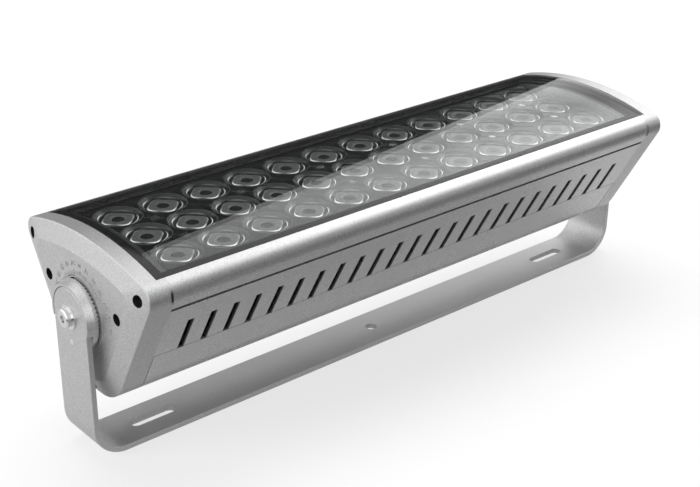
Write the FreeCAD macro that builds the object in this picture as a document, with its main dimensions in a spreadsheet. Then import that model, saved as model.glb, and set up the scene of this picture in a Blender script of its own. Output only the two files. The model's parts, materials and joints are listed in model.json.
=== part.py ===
import FreeCAD, Part
import math
import os
from types import SimpleNamespace

# Outdoor wall washer light: a bent-bar yoke that stands on the ground and a long lamp head that tilts
# between its two arms.  Millimetres, +X along the light, +Z up.  The origin is the middle of the yoke's
# base, on the surface that it stands on.  The head's pieces are drawn about the tilt axis and are
# lifted to it by their placement.

SIZES = {
    # Yoke
    "bar_width": 40,
    "bar_thick": 4,
    "bar_edge": 0.6,             # round along the bar's edges
    "bend_inner": 20,            # inner radius of the two bends
    "pivot_height": 102,         # standing surface to tilt axis
    "slot_inset": 57,            # outer face of an arm to the middle of its mounting slot
    "slot_width": 9,
    "slot_run": 27,              # between the centres of a slot's two round ends
    "centre_hole": 9,
    "pin_diameter": 4,
    "pin_drop": 18.5,            # tilt axis to the dowel below it
    "pin_length": 7.2,
    # Pivot joint
    "disc_height": 10.2,         # face of the end cap to the outer face of the arm
    "bolt_diameter": 8,
    "bolt_clearance": 0.2,       # radial, in the arm and the disc
    "bolt_running_fit": 0.05,    # radial, in the insert that turns on it
    "bolt_free_gap": 0.4,        # radial, in the end cap and the thrust washer
    "bolt_reach": 17,            # length of shank inside the head
    "bolt_head": 13,
    "bolt_head_height": 4,
    "bolt_socket": 5,
    "bolt_socket_depth": 2.4,
    "bolt_bevel": 0.8,
    "washer_diameter": 17,
    "washer_thick": 1.2,
    "disc_gap": 0.4,             # end cap to disc, along the axis
    "disc_radius": 24,
    "disc_foot_radius": 22.4,
    "disc_foot_height": 1.8,
    "disc_tooth_count": 48,
    "disc_tooth_depth": 1.3,
    "disc_rim_taper": 1.7,       # how much narrower the rim is at the arm's outer face
    "disc_body_height": 2.5,
    "rim_cut_drop": 6.6,         # the rim is open below this distance under the axis
    "arm_clearance": 0.4,        # round the arm's end inside the rim
    "thrust_washer_radius": 16,
    "thrust_washer_thick": 1,
    "insert_diameter": 14,
    "insert_length": 14,
    # Head section
    "arch_radius": 240,
    "arch_peak": 53,             # tilt axis to the top of the arch
    "shoulder_radius": 10.5,
    "flank_lean": 29.2,          # degrees from upright
    "crest_land": 1.79,          # from the glass to where a shoulder's round starts
    "belly_drop": 60,            # tilt axis to the flat bottom
    "belly_centre_drop": 29,     # tilt axis to the centre of the belly's round
    "skin": 2.4,                 # vent panels and bottom cover
    "lap_thick": 1.8,
    "lip_drop": 5,               # end of the shoulder's round to its lower edge
    "groove_width": 2.6,
    "vent_top": 35.6,            # up the flank from the foot of the axis: upper end of the slots
    "vent_count": 24,
    "vent_pitch": 18,
    "vent_width": 5,
    "seam_height": 4.6,          # up the flank: seam of panel and cover
    "seam_gap": 0.5,
    "lap_depth": 7.4,            # how far the panel's lap runs down behind the cover
    "chamber_gap": 1,            # lens modules to the walls of their chamber
    "shelf_drop": 28.5,          # top of the arch to the shelf
    "shelf_thick": 5,
    "fin_thick": 1.8,
    "fin_pitch": 9,
    "fin_pairs": 6,
    "fin_floor": -20,            # lower ends of the fins
    "port_radius": 4,
    "screw_diameter": 4,
    "screw_clearance": 0.1,      # radial
    "screw_head": 7,
    "screw_socket": 3,
    "screw_socket_depth": 2,
    "screw_depth": 16,           # how deep a screw enters the extrusions
    # Glass
    "glass_margin": 17.5,        # end of the lens array to the end of the glass
    "glass_overhang": 6,         # length of glass beyond the extrusions at each end
    "glass_ledge": 6.3,          # width of the ledge under each long edge
    "glass_thick": 4,
    "glass_gap": 0.2,
    "gasket_thick": 1.2,         # from the glass to its seat
    "bond_gap": 0.15,            # gasket to glass and gasket to seat
    "gasket_width": 5.5,
    "frame_end": 13.5,           # length of the glass seat at each end
    # End caps
    "rim_width": 11.3,           # end of the glass to the cap's outer edge
    "crown_height": 4.5,
    "crown_inset": 13,
    "crown_corner": 9,
    "edge_round": 0.8,
    "cap_wall": 4,
    "cap_end_wall": 5,
    "cap_recess_drop": 6.5,      # the hollow in the cap starts this far below the shelf
    "cap_gasket_thick": 1,
    "cap_gasket_inset": 1,
    "head_recess_depth": 7,
    "head_recess": 8,
    "screw_boss_radius": 5.5,
    "tongue_gap": 0.2,           # cap's tongue to the lens chamber round it
    "mid_screw_depth": 20.1,     # from the flank
    "mid_screw_height": 30.7,    # up the flank
    "low_screw_rise": 6,         # from the flat bottom
    "pivot_boss_radius": 15,
    "dial_ring_inner": 22.9,
    "dial_ring_width": 2.5,
    "dial_ring_height": 1.2,
    "dial_window_start": 14,     # degrees from the top
    "dial_window_end": 46,
    "dial_window_depth": 3.5,    # below the face of the cap
    "dial_window_width": 4.2,    # from the ring's wall inward
    "dial_window_wall": 0.8,     # what is left of the ring at the window
    "dial_bite": 0.5,            # cut from the ring's outer edge at the window
    "dial_bite_depth": 1.5,
    "notch_width": 2,
    "notch_height": 10.1,
    "notch_depth": 1.5,
    # Lens deck
    "lens_pitch": 36,
    "lens_columns": 12,
    "lens_rows": 3,
    "module_columns": 2,
    "module_gap": 0.5,
    "module_border": 5,          # beyond the outer rows of lenses
    "lens_glass_gap": 0.5,       # corner of a module to the glass above it
    "lens_plate": 2.4,
    "lens_rim_radius": 17,
    "lens_dish_depth": 1.4,
    "lens_dish_taper": 70,
    "lens_recess_radius": 4.2,
    "lens_recess_depth": 1.6,
    "lens_groove_radius": 12.9,
    "lens_groove_depth": 2.6,    # below the floor of the dish
    "lens_groove_width": 0.75,   # at the corners of the crown, where it is narrowest
    "lens_crown_corner": 6.5,    # radius of the crown's corners
    "lens_core_wall": 2.6,       # groove to the outside of the core
    "lens_core_taper": 40,
    "lens_core_clear": 0.3,      # lens tip to the emitter's base
    "lens_post_radius": 3.6,
    "lens_screw": 3,
    "lens_screw_head": 5.6,
    "lens_screw_head_height": 1.6,
    "lens_screw_recess": 2,
    "lens_screw_depth": 3.5,     # into the shelf
    "board_thick": 1.6,
    "board_inset": 3,            # edge of the modules to the edge of the board
    "led_size": 5,
    "led_thick": 0.8,
    "dome_radius": 1.6,
    "dome_height": 1.2,
    "well_radius": 2.4,
    "well_depth": 2.2,
    # Driver bay
    "plate_width": 72,
    "plate_end_gap": 12.5,       # to the ends of the extrusions
    "plate_thick": 1.5,
    "plate_screw_inset": 7,
    "plate_screw_y": 18,
    "driver_length": 290,
    "driver_width": 46,
    "driver_height": 22,
    "driver_ear": 12,
    "driver_ear_thick": 2,
    "driver_gap": 12,            # terminal block to the driver's ear
    "terminal_length": 34,
    "terminal_width": 24,
    "terminal_height": 14,
    "terminal_inset": 35,        # end of the plate to the middle of the block
    "terminal_pitch": 8.5,
    "terminal_mouth": 3.2,
    "terminal_mouth_depth": 8,
    "small_screw": 3,
    "small_screw_head": 6,
    "small_screw_head_height": 2.2,
    "small_screw_depth": 5.6,
    # Cable gland and breather on the rear flank of the bottom cover
    "gland_inset": 52.5,         # end of the bottom cover to the middle of the fitting
    "gland_thread": 12,
    "gland_hex": 15,
    "gland_hex_height": 4,
    "gland_collar": 10.4,
    "gland_collar_height": 6,
    "gland_nut_hex": 15,
    "gland_nut_height": 9,
    "gland_nut_flat": 4.5,       # height of the nut's hexagon
    "gland_nut_round": 13.8,
    "gland_nut_gap": 0.2,
    "gland_bore": 6.4,
    "seal_bore": 5,
    "seal_length": 9.4,
    "locknut_height": 3.5,
    "gland_inside": 7,
    "breather_hex_height": 2,
    "breather_height": 4,
    "breather_round": 13.8,
}

doc = FreeCAD.newDocument("wall_washer")
sheet = doc.addObject("Spreadsheet::Sheet", "Sizes")
for row, (alias, number) in enumerate(SIZES.items(), start=1):
    sheet.set(f"A{row}", alias)
    sheet.set(f"B{row}", str(number))
    sheet.setAlias(f"B{row}", alias)
doc.recompute()
size = SimpleNamespace(**{alias: sheet.get(alias) for alias in SIZES})

X_AXIS = FreeCAD.Vector(1, 0, 0)
Z_AXIS = FreeCAD.Vector(0, 0, 1)
NEAR = 1e-4                      # lengths closer than this are the same
parts = []


# ---------------------------------------------------------------- drawing helpers

def origin_feature(body, role):
    """Return the body's own origin plane or axis with this role."""
    return next(item for item in body.Origin.OriginFeatures if item.Role == role)


def new_body(label, several=False):
    """Start a sub-part; `several` allows a group of separate solids."""
    body = doc.addObject("PartDesign::Body", label)
    body.Label = label
    body.AllowCompound = several
    parts.append(body)
    return body


def on_axis(body, x="0", turned=False):
    """Place a sub-part on the tilt axis, turned half round about the vertical for the other end."""
    angle = 180 if turned else 0
    body.Placement = FreeCAD.Placement(FreeCAD.Vector(0, 0, 0), FreeCAD.Rotation(Z_AXIS, angle))
    body.setExpression("Placement.Base.x", x)
    body.setExpression("Placement.Base.z", "Sizes.pivot_height")


def on_cap_face(body, turned):
    """Place a sub-part on the tilt axis at the face of one end cap, its own X pointing outward."""
    sign = "-" if turned else ""
    on_axis(body, f"{sign}({CAP_FACE_X})", turned)


def new_sketch(body, role, offset="0"):
    """Start a sketch on an origin plane of the body, moved along the plane's normal."""
    sketch = body.newObject("Sketcher::SketchObject", "Sketch")
    sketch.AttachmentSupport = [(origin_feature(body, role), "")]
    sketch.MapMode = "FlatFace"
    sketch.setExpression("AttachmentOffset.Base.z", offset)
    return sketch


def draw_circle(sketch, x, y, radius):
    """Add a circle."""
    sketch.addGeometry(Part.Circle(FreeCAD.Vector(x, y, 0), Z_AXIS, radius))


def draw_loop(sketch, path):
    """Add a closed loop; each entry is a corner (x, y) or an arc (x_mid, y_mid, x, y)."""
    here = FreeCAD.Vector(path[-1][-2], path[-1][-1], 0)
    for entry in path:
        there = FreeCAD.Vector(entry[-2], entry[-1], 0)
        if len(entry) == 4:
            middle = FreeCAD.Vector(entry[0], entry[1], 0)
            sketch.addGeometry(Part.Arc(here, middle, there))
        else:
            sketch.addGeometry(Part.LineSegment(here, there))
        here = there


def draw_rectangle(sketch, x, y, width, height):
    """Add a rectangle centred on a point."""
    half_x = width / 2
    half_y = height / 2
    draw_loop(sketch, [(x - half_x, y - half_y), (x + half_x, y - half_y),
                       (x + half_x, y + half_y), (x - half_x, y + half_y)])


def draw_hexagon(sketch, x, y, across_flats):
    """Add a regular hexagon centred on a point."""
    radius = across_flats / math.sqrt(3)
    draw_loop(sketch, [polar(radius, 60 * corner, x, y) for corner in range(6)])


def draw_turned_square(sketch, x, y, half, corner):
    """Add a square with round corners that stands on one corner, centred on a point."""
    path = []
    for angle in (0, 90, 180, 270):
        centre = polar(math.sqrt(2) * (half - corner), angle, x, y)
        path.append(polar(corner, angle - 45, *centre))
        path.append(polar(corner, angle, *centre) + polar(corner, angle + 45, *centre))
    draw_loop(sketch, path)


def polar(radius, degrees, x=0.0, y=0.0):
    """Return the point at this radius and angle from a centre."""
    angle = math.radians(degrees)
    return (x + radius * math.cos(angle), y + radius * math.sin(angle))


def arc_to(centre, start, end):
    """Return the loop entry for the shorter arc about a centre from start to end."""
    middle_x = (start[0] + end[0]) / 2 - centre[0]
    middle_y = (start[1] + end[1]) / 2 - centre[1]
    radius = math.dist(centre, start)
    stretch = radius / math.hypot(middle_x, middle_y)
    return (centre[0] + middle_x * stretch, centre[1] + middle_y * stretch, end[0], end[1])


def add_pad(sketch, length, symmetric=False, back=False, taper=0):
    """Extrude a sketch; a negative taper narrows it."""
    body = sketch.getParentGeoFeatureGroup()
    pad = body.newObject("PartDesign::Pad", "Pad")
    pad.Profile = sketch
    pad.setExpression("Length", length)
    pad.SideType = "Symmetric" if symmetric else "One side"
    pad.Reversed = back
    pad.TaperAngle = taper
    body.Tip = pad
    return pad


def add_pocket(sketch, length, symmetric=False, back=False, taper=0):
    """Cut a sketch into the solid and make sure that it really removes material."""
    body = sketch.getParentGeoFeatureGroup()
    doc.recompute()
    before = body.Shape.Volume
    pocket = body.newObject("PartDesign::Pocket", "Pocket")
    pocket.Profile = sketch
    pocket.setExpression("Length", length)
    pocket.SideType = "Symmetric" if symmetric else "One side"
    pocket.Reversed = back
    pocket.TaperAngle = taper
    body.Tip = pocket
    doc.recompute()
    if body.Shape.Volume >= before:
        raise ValueError(f"a pocket of {body.Label} cuts nothing")
    return pocket


def add_revolution(sketch, axis_role):
    """Turn a sketch a full turn about an axis of the body."""
    body = sketch.getParentGeoFeatureGroup()
    turned = body.newObject("PartDesign::Revolution", "Revolution")
    turned.Profile = sketch
    turned.ReferenceAxis = (origin_feature(body, axis_role), [""])
    turned.Angle = 360
    body.Tip = turned
    return turned


def repeat_round(feature, axis_role, count):
    """Repeat a feature evenly round an axis of the body."""
    body = feature.getParentGeoFeatureGroup()
    pattern = body.newObject("PartDesign::PolarPattern", "Ring")
    pattern.Originals = [feature]
    pattern.Axis = (origin_feature(body, axis_role), [""])
    pattern.Angle = 360
    pattern.setExpression("Occurrences", count)
    body.Tip = pattern
    return pattern


def round_edges(feature, chosen, radius):
    """Round the edges of a feature whose boxes are the chosen ones."""
    body = feature.getParentGeoFeatureGroup()
    edges = [f"Edge{index}" for index, edge in enumerate(feature.Shape.Edges, start=1)
             if chosen(edge.BoundBox)]
    rounding = body.newObject("PartDesign::Fillet", "Edge_round")
    rounding.Base = (feature, edges)
    rounding.setExpression("Radius", radius)
    body.Tip = rounding
    doc.recompute()


def walked_back(path):
    """Return an open path walked from its end to its start."""
    corners = [entry[-2:] for entry in path]
    return [corners[-1]] + [path[place][:-2] + corners[place - 1] for place in range(len(path) - 1, 0, -1)]


def mirrored(path):
    """Return an open path followed by its mirror image across the vertical axis, as one loop."""
    flipped = [tuple(-number if place % 2 == 0 else number for place, number in enumerate(entry))
               for entry in walked_back(path)]
    return path + flipped


# ---------------------------------------------------------------- places that several pieces share

LEAN = math.radians(size.flank_lean)
FLANK_OUT = (math.cos(LEAN), -math.sin(LEAN))
FLANK_UP = (math.sin(LEAN), math.cos(LEAN))
ARCH_CENTRE = (0, size.arch_peak - size.arch_radius)

# Along the light, from the lens array outward, as expressions for the features and as numbers.
GLASS_END_X = "(Sizes.lens_columns * Sizes.lens_pitch / 2 + Sizes.glass_margin)"
BODY_END_X = "(" + GLASS_END_X + " - Sizes.glass_overhang)"
BODY_LENGTH = "2 * " + BODY_END_X
CAP_EDGE_X = "(" + GLASS_END_X + " + Sizes.rim_width)"
CAP_FACE_X = "(" + CAP_EDGE_X + " + Sizes.crown_height)"
ARM_FACE_X = "(" + CAP_FACE_X + " + Sizes.disc_height)"
FITTING_X = "(" + BODY_END_X + " - Sizes.gland_inset)"
CAP_DEPTH = "(Sizes.rim_width + Sizes.glass_overhang)"
THROUGH_ARMS = "4 * " + ARM_FACE_X
GLASS_END = size.lens_columns * size.lens_pitch / 2 + size.glass_margin
CAP_EDGE = GLASS_END + size.rim_width
ARM_FACE = CAP_EDGE + size.crown_height + size.disc_height
PLATE_END = GLASS_END - size.glass_overhang - size.plate_end_gap
FITTING_END = GLASS_END - size.glass_overhang - size.gland_inset
TERMINAL_X = size.terminal_inset - PLATE_END
DRIVER_X = (TERMINAL_X + size.terminal_length / 2 + size.driver_gap + size.driver_ear
            + size.driver_length / 2)

# Across the light, from the middle outward.
MODULE_EDGE = size.lens_rows * size.lens_pitch / 2 + size.module_border
CHAMBER_EDGE = MODULE_EDGE + size.chamber_gap
GLASS_SIDE = CHAMBER_EDGE + size.glass_ledge
SEAT_EDGE = GLASS_SIDE + size.glass_gap
CREST_EDGE = SEAT_EDGE + size.crest_land

# From the middle of a lens to the sides of its crown.
CROWN_REACH = size.lens_groove_radius - size.lens_groove_width
CROWN_HALF = (CROWN_REACH + (math.sqrt(2) - 1) * size.lens_crown_corner) / math.sqrt(2)

# Outward from the middle of the arch.
BELOW_GLASS = size.arch_radius - size.glass_thick
BELOW_GASKET = BELOW_GLASS - size.gasket_thick

# Up from the tilt axis.
SHELF_TOP = size.arch_peak - size.shelf_drop
SHELF_TOP_Z = "(Sizes.arch_peak - Sizes.shelf_drop)"
MODULE_EDGE_Y = "(Sizes.lens_rows * Sizes.lens_pitch / 2 + Sizes.module_border)"
LENS_TOP_Z = ("(Sizes.arch_peak - Sizes.arch_radius - Sizes.lens_glass_gap"
              f" + sqrt((Sizes.arch_radius - Sizes.glass_thick) ^ 2 - {MODULE_EDGE_Y} ^ 2))")
PLATE_UNDER_Z = "(Sizes.fin_floor - Sizes.plate_thick)"
POST_LENGTH = LENS_TOP_Z + " - Sizes.lens_plate - " + SHELF_TOP_Z + " - Sizes.board_thick"
LOW_SCREW_Z = size.low_screw_rise - size.belly_drop
BELLY_RADIUS = size.belly_drop - size.belly_centre_drop

# Up the flank.
SEAM_TOP = size.seam_height + size.seam_gap / 2
SEAM_BOTTOM = size.seam_height - size.seam_gap / 2
LAP_END = SEAM_TOP - size.lap_depth
SCREW_HOLE = size.screw_diameter / 2 + size.screw_clearance


def flank_distance():
    """Return how far the flanks lie from the tilt axis, tangent to the shoulders' rounds."""
    share = (size.arch_radius - size.shoulder_radius) / size.arch_radius
    centre_y = CREST_EDGE * share
    centre_z = ARCH_CENTRE[1] + math.sqrt(size.arch_radius ** 2 - CREST_EDGE ** 2) * share
    return centre_y * FLANK_OUT[0] + centre_z * FLANK_OUT[1] + size.shoulder_radius


FLANK_REACH = flank_distance()


def flank_point(depth, height):
    """Return the section point at a depth below the flank and a height up it."""
    reach = FLANK_REACH - depth
    return (FLANK_OUT[0] * reach + FLANK_UP[0] * height,
            FLANK_OUT[1] * reach + FLANK_UP[1] * height)


def flank_height_at(depth, level):
    """Return the height up the flank where a plane at this depth meets a level."""
    return (level - FLANK_OUT[1] * (FLANK_REACH - depth)) / FLANK_UP[1]


def on_arch(radius, y):
    """Return the point of the arch with this radius at a distance from the middle."""
    return (y, ARCH_CENTRE[1] + math.sqrt(radius ** 2 - y ** 2))


def shoulder_centre(inset, radius):
    """Return the centre of the round that is tangent to the arch and the flank."""
    near = FLANK_REACH - inset - radius
    base = (FLANK_OUT[0] * near - ARCH_CENTRE[0], FLANK_OUT[1] * near - ARCH_CENTRE[1])
    along = base[0] * FLANK_UP[0] + base[1] * FLANK_UP[1]
    span = (size.arch_radius - inset - radius) ** 2 - base[0] ** 2 - base[1] ** 2
    return flank_point(inset + radius, math.sqrt(along ** 2 + span) - along)


def arch_tangent(inset, radius):
    """Return the point where the shoulder's round meets the arch."""
    centre = shoulder_centre(inset, radius)
    arm = (size.arch_radius - inset) / (size.arch_radius - inset - radius)
    return (ARCH_CENTRE[0] + (centre[0] - ARCH_CENTRE[0]) * arm,
            ARCH_CENTRE[1] + (centre[1] - ARCH_CENTRE[1]) * arm)


def shoulder_path(inset, radius, end):
    """Return the path from the arch round the shoulder and down the flank to an end point."""
    centre = shoulder_centre(inset, radius)
    start = arch_tangent(inset, radius)
    finish = (centre[0] + FLANK_OUT[0] * radius, centre[1] + FLANK_OUT[1] * radius)
    return [start, arc_to(centre, start, finish), end]


def belly_path(inset, radius):
    """Return the path from the end of the flank round the belly to its flat bottom."""
    level = inset - size.belly_drop
    centre_z = level + radius
    reach = FLANK_REACH - inset - radius
    centre = ((reach - FLANK_OUT[1] * centre_z) / FLANK_OUT[0], centre_z)
    start = (centre[0] + FLANK_OUT[0] * radius, centre[1] + FLANK_OUT[1] * radius)
    return [start, arc_to(centre, start, (centre[0], level))]


def height_of(point):
    """Return how far up the flank a section point lies."""
    return point[0] * FLANK_UP[0] + point[1] * FLANK_UP[1]


LIP_HEIGHT = height_of(shoulder_centre(0, size.shoulder_radius)) - size.lip_drop
PANEL_TOP = LIP_HEIGHT - size.groove_width
GLAND_HEIGHT = (LAP_END + height_of(belly_path(0, BELLY_RADIUS)[0])) / 2


def head_outline(inset, shoulder, belly):
    """Return the head's whole outline as one loop, drawn in by an inset."""
    low = belly_path(inset, belly)
    side = shoulder_path(inset, shoulder, low[0]) + low[1:]
    loop = mirrored(side)
    peak = (0, size.arch_peak - inset)
    loop[0] = (peak[0], peak[1], loop[0][0], loop[0][1])
    return loop


def deck_section(inset):
    """Return the loop of the shelf with a shoulder on each side that carries the glass."""
    wall = CHAMBER_EDGE + inset
    ledge = BELOW_GASKET - inset
    edge = SEAT_EDGE + inset
    crest = size.arch_radius - inset
    under = SHELF_TOP - size.shelf_thick + inset
    lip = LIP_HEIGHT + inset
    inner = size.skin + inset
    land_end = flank_point(inner, flank_height_at(inner, under))
    start = (wall, SHELF_TOP - inset)
    ledge_in = on_arch(ledge, wall)
    ledge_out = on_arch(ledge, edge)
    crest_in = on_arch(crest, edge)
    tangent = arch_tangent(inset, size.shoulder_radius - inset)
    side = [start, ledge_in, arc_to(ARCH_CENTRE, ledge_in, ledge_out), crest_in,
            arc_to(ARCH_CENTRE, crest_in, tangent)]
    side += shoulder_path(inset, size.shoulder_radius - inset, flank_point(inset, lip))[1:]
    side += [flank_point(inner, lip), land_end]
    return mirrored(side)


def screw_places():
    """Return the section points of the screws that hold an end cap."""
    top_y, top_z = shoulder_centre(0, size.shoulder_radius)
    mid_y, mid_z = flank_point(size.mid_screw_depth, size.mid_screw_height)
    return [(top_y, top_z), (-top_y, top_z),
            (mid_y, mid_z), (-mid_y, mid_z), (0, LOW_SCREW_Z)]


def module_centres():
    """Return the X of the middle of each lens module."""
    count = int(size.lens_columns / size.module_columns)
    pitch = size.lens_pitch * size.module_columns
    return [pitch * (index - (count - 1) / 2) for index in range(count)]


def cell_offsets(count):
    """Return centred offsets of a row of lens cells."""
    return [size.lens_pitch * (index - (count - 1) / 2) for index in range(int(count))]


def module_screws():
    """Return the places of a module's screws, midway between four lenses."""
    return [(0, y) for y in cell_offsets(size.lens_rows - 1)]


# ---------------------------------------------------------------- yoke and pivots

def make_yoke():
    """One flat bar bent twice, with round arm ends, mounting slots and pivot holes."""
    body = new_body("yoke_bracket")
    half = ARM_FACE
    outer = size.bend_inner + size.bar_thick
    top = size.pivot_height + size.bar_width / 2
    bend = (half - outer, outer)
    start = (half - size.bar_thick, top)
    inner_up = (half - size.bar_thick, outer)
    inner_low = (half - outer, size.bar_thick)
    profile = new_sketch(body, "XZ_Plane")
    side = [(half - outer, 0), arc_to(bend, (half - outer, 0), (half, outer)), (half, top), start,
            inner_up, arc_to(bend, inner_up, inner_low)]
    draw_loop(profile, mirrored(side))
    add_pad(profile, "Sizes.bar_width", symmetric=True)

    corners = new_sketch(body, "YZ_Plane")
    edge = size.bar_width / 2
    beyond = size.bar_width
    draw_loop(corners, [(-beyond, size.pivot_height), (-edge, size.pivot_height),
                        (0, top, edge, size.pivot_height), (beyond, size.pivot_height),
                        (beyond, top + edge), (-beyond, top + edge)])
    round_edges(add_pocket(corners, THROUGH_ARMS, symmetric=True), is_bar_edge, "Sizes.bar_edge")

    holes = new_sketch(body, "YZ_Plane")
    draw_circle(holes, 0, size.pivot_height, size.bolt_diameter / 2 + size.bolt_clearance)
    draw_circle(holes, 0, size.pivot_height - size.pin_drop, size.pin_diameter / 2)
    add_pocket(holes, THROUGH_ARMS, symmetric=True)

    base = new_sketch(body, "XY_Plane")
    draw_circle(base, 0, 0, size.centre_hole / 2)
    for side_sign in (-1, 1):
        draw_slot(base, side_sign * (ARM_FACE - size.slot_inset), size.slot_run, size.slot_width)
    add_pocket(base, "4 * Sizes.bar_thick", symmetric=True)


def is_bar_edge(box):
    """Tell whether an edge with this box runs along a side of the bar or round the end of an arm."""
    along_side = box.YLength < NEAR and abs(abs(box.YMin) - size.bar_width / 2) < NEAR
    return (along_side or box.XLength < NEAR) and max(box.XLength, box.ZLength) > size.bar_thick + NEAR


def draw_slot(sketch, x, run, width):
    """Add a slot with round ends along the sketch's first axis."""
    left = x - run / 2
    right = x + run / 2
    half = width / 2
    draw_loop(sketch, [(right, -half), (right + half, 0, right, half), (left, half),
                       (left - half, 0, left, -half)])


def make_disc(label, turned):
    """Cast pivot disc: a toothed foot, and a rim that wraps the round end of the arm."""
    body = new_body(label)
    on_cap_face(body, turned)
    foot_top = size.disc_gap + size.disc_foot_height
    flare = size.disc_radius - size.disc_foot_radius
    section = new_sketch(body, "XY_Plane")
    draw_loop(section, [(size.disc_gap, 0), (size.disc_gap, size.disc_foot_radius),
                        (foot_top, size.disc_foot_radius), (foot_top + flare / 2, size.disc_radius),
                        (foot_top + size.disc_body_height, size.disc_radius),
                        (size.disc_height, size.disc_radius - size.disc_rim_taper), (size.disc_height, 0)])
    add_revolution(section, "X_Axis")

    seat = new_sketch(body, "YZ_Plane", "Sizes.disc_height - Sizes.bar_thick")
    inside = size.bar_width / 2 + size.arm_clearance
    beyond = 2 * size.disc_radius
    draw_loop(seat, [(-inside, 0), (0, inside, inside, 0), (inside, -size.rim_cut_drop),
                     (beyond, -size.rim_cut_drop), (beyond, -beyond), (-beyond, -beyond),
                     (-beyond, -size.rim_cut_drop), (-inside, -size.rim_cut_drop)])
    add_pocket(seat, "2 * Sizes.bar_thick", back=True)

    under = new_sketch(body, "YZ_Plane", "Sizes.disc_gap")
    draw_circle(under, 0, 0, size.thrust_washer_radius + size.disc_gap)
    add_pocket(under, "Sizes.thrust_washer_thick", back=True)

    bore = new_sketch(body, "YZ_Plane")
    draw_circle(bore, 0, 0, size.bolt_diameter / 2 + size.bolt_clearance)
    add_pocket(bore, "4 * Sizes.disc_radius", symmetric=True)

    dowel = new_sketch(body, "YZ_Plane", "Sizes.disc_height - Sizes.bar_thick")
    draw_circle(dowel, 0, -size.pin_drop, size.pin_diameter / 2)
    add_pocket(dowel, "Sizes.pin_length - Sizes.bar_thick")

    tooth = new_sketch(body, "YZ_Plane")
    half_angle = 90 / size.disc_tooth_count
    outside = size.disc_foot_radius + size.disc_tooth_depth
    inner = size.disc_foot_radius - size.disc_tooth_depth
    draw_loop(tooth, [polar(inner, 90 - half_angle), polar(outside, 90 - half_angle),
                      polar(outside, 90 + half_angle), polar(inner, 90 + half_angle)])
    notch = add_pocket(tooth, "Sizes.disc_gap + Sizes.disc_foot_height", back=True)
    repeat_round(notch, "X_Axis", "Sizes.disc_tooth_count")


def make_bolt(label, turned):
    """Socket-head pivot bolt through the arm and the disc into the cap's insert."""
    body = new_body(label)
    on_cap_face(body, turned)
    seat = size.disc_height + size.washer_thick
    top = seat + size.bolt_head_height
    shank = size.bolt_diameter / 2
    head = size.bolt_head / 2
    bevel = size.bolt_bevel
    section = new_sketch(body, "XY_Plane")
    draw_loop(section, [(-size.bolt_reach, 0), (-size.bolt_reach, shank - bevel),
                        (bevel - size.bolt_reach, shank), (seat, shank), (seat, head),
                        (top - bevel, head), (top, head - bevel), (top, 0)])
    add_revolution(section, "X_Axis")
    socket = new_sketch(body, "YZ_Plane",
                        "Sizes.disc_height + Sizes.washer_thick + Sizes.bolt_head_height")
    draw_hexagon(socket, 0, 0, size.bolt_socket)
    add_pocket(socket, "Sizes.bolt_socket_depth")


def make_ring(label, turned, start, length, inner, outer):
    """Plain ring on the tilt axis, from a start outside the cap's face."""
    body = new_body(label)
    on_cap_face(body, turned)
    section = new_sketch(body, "YZ_Plane", start)
    draw_circle(section, 0, 0, inner)
    draw_circle(section, 0, 0, outer)
    add_pad(section, length)


def make_dowel(label, turned):
    """Dowel that keys the disc to the arm below the bolt."""
    body = new_body(label)
    on_cap_face(body, turned)
    section = new_sketch(body, "YZ_Plane", "Sizes.disc_height")
    draw_circle(section, 0, -size.pin_drop, size.pin_diameter / 2)
    add_pad(section, "Sizes.pin_length", back=True)


def make_pivots():
    """Both pivot joints."""
    shank_hole = size.bolt_diameter / 2 + size.bolt_clearance
    insert_bore = size.bolt_diameter / 2 + size.bolt_running_fit
    for side_name, turned in (("left", True), ("right", False)):
        make_disc("pivot_disc_" + side_name, turned)
        make_bolt("pivot_bolt_" + side_name, turned)
        make_ring("bolt_washer_" + side_name, turned, "Sizes.disc_height", "Sizes.washer_thick",
                  shank_hole, size.washer_diameter / 2)
        make_ring("thrust_washer_" + side_name, turned, "0", "Sizes.thrust_washer_thick",
                  size.bolt_diameter / 2 + size.bolt_free_gap, size.thrust_washer_radius)
        make_ring("pivot_insert_" + side_name, turned, "-Sizes.cap_end_wall - Sizes.insert_length",
                  "Sizes.insert_length", insert_bore, size.insert_diameter / 2)
        make_dowel("disc_dowel_" + side_name, turned)


# ---------------------------------------------------------------- head extrusions

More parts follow.
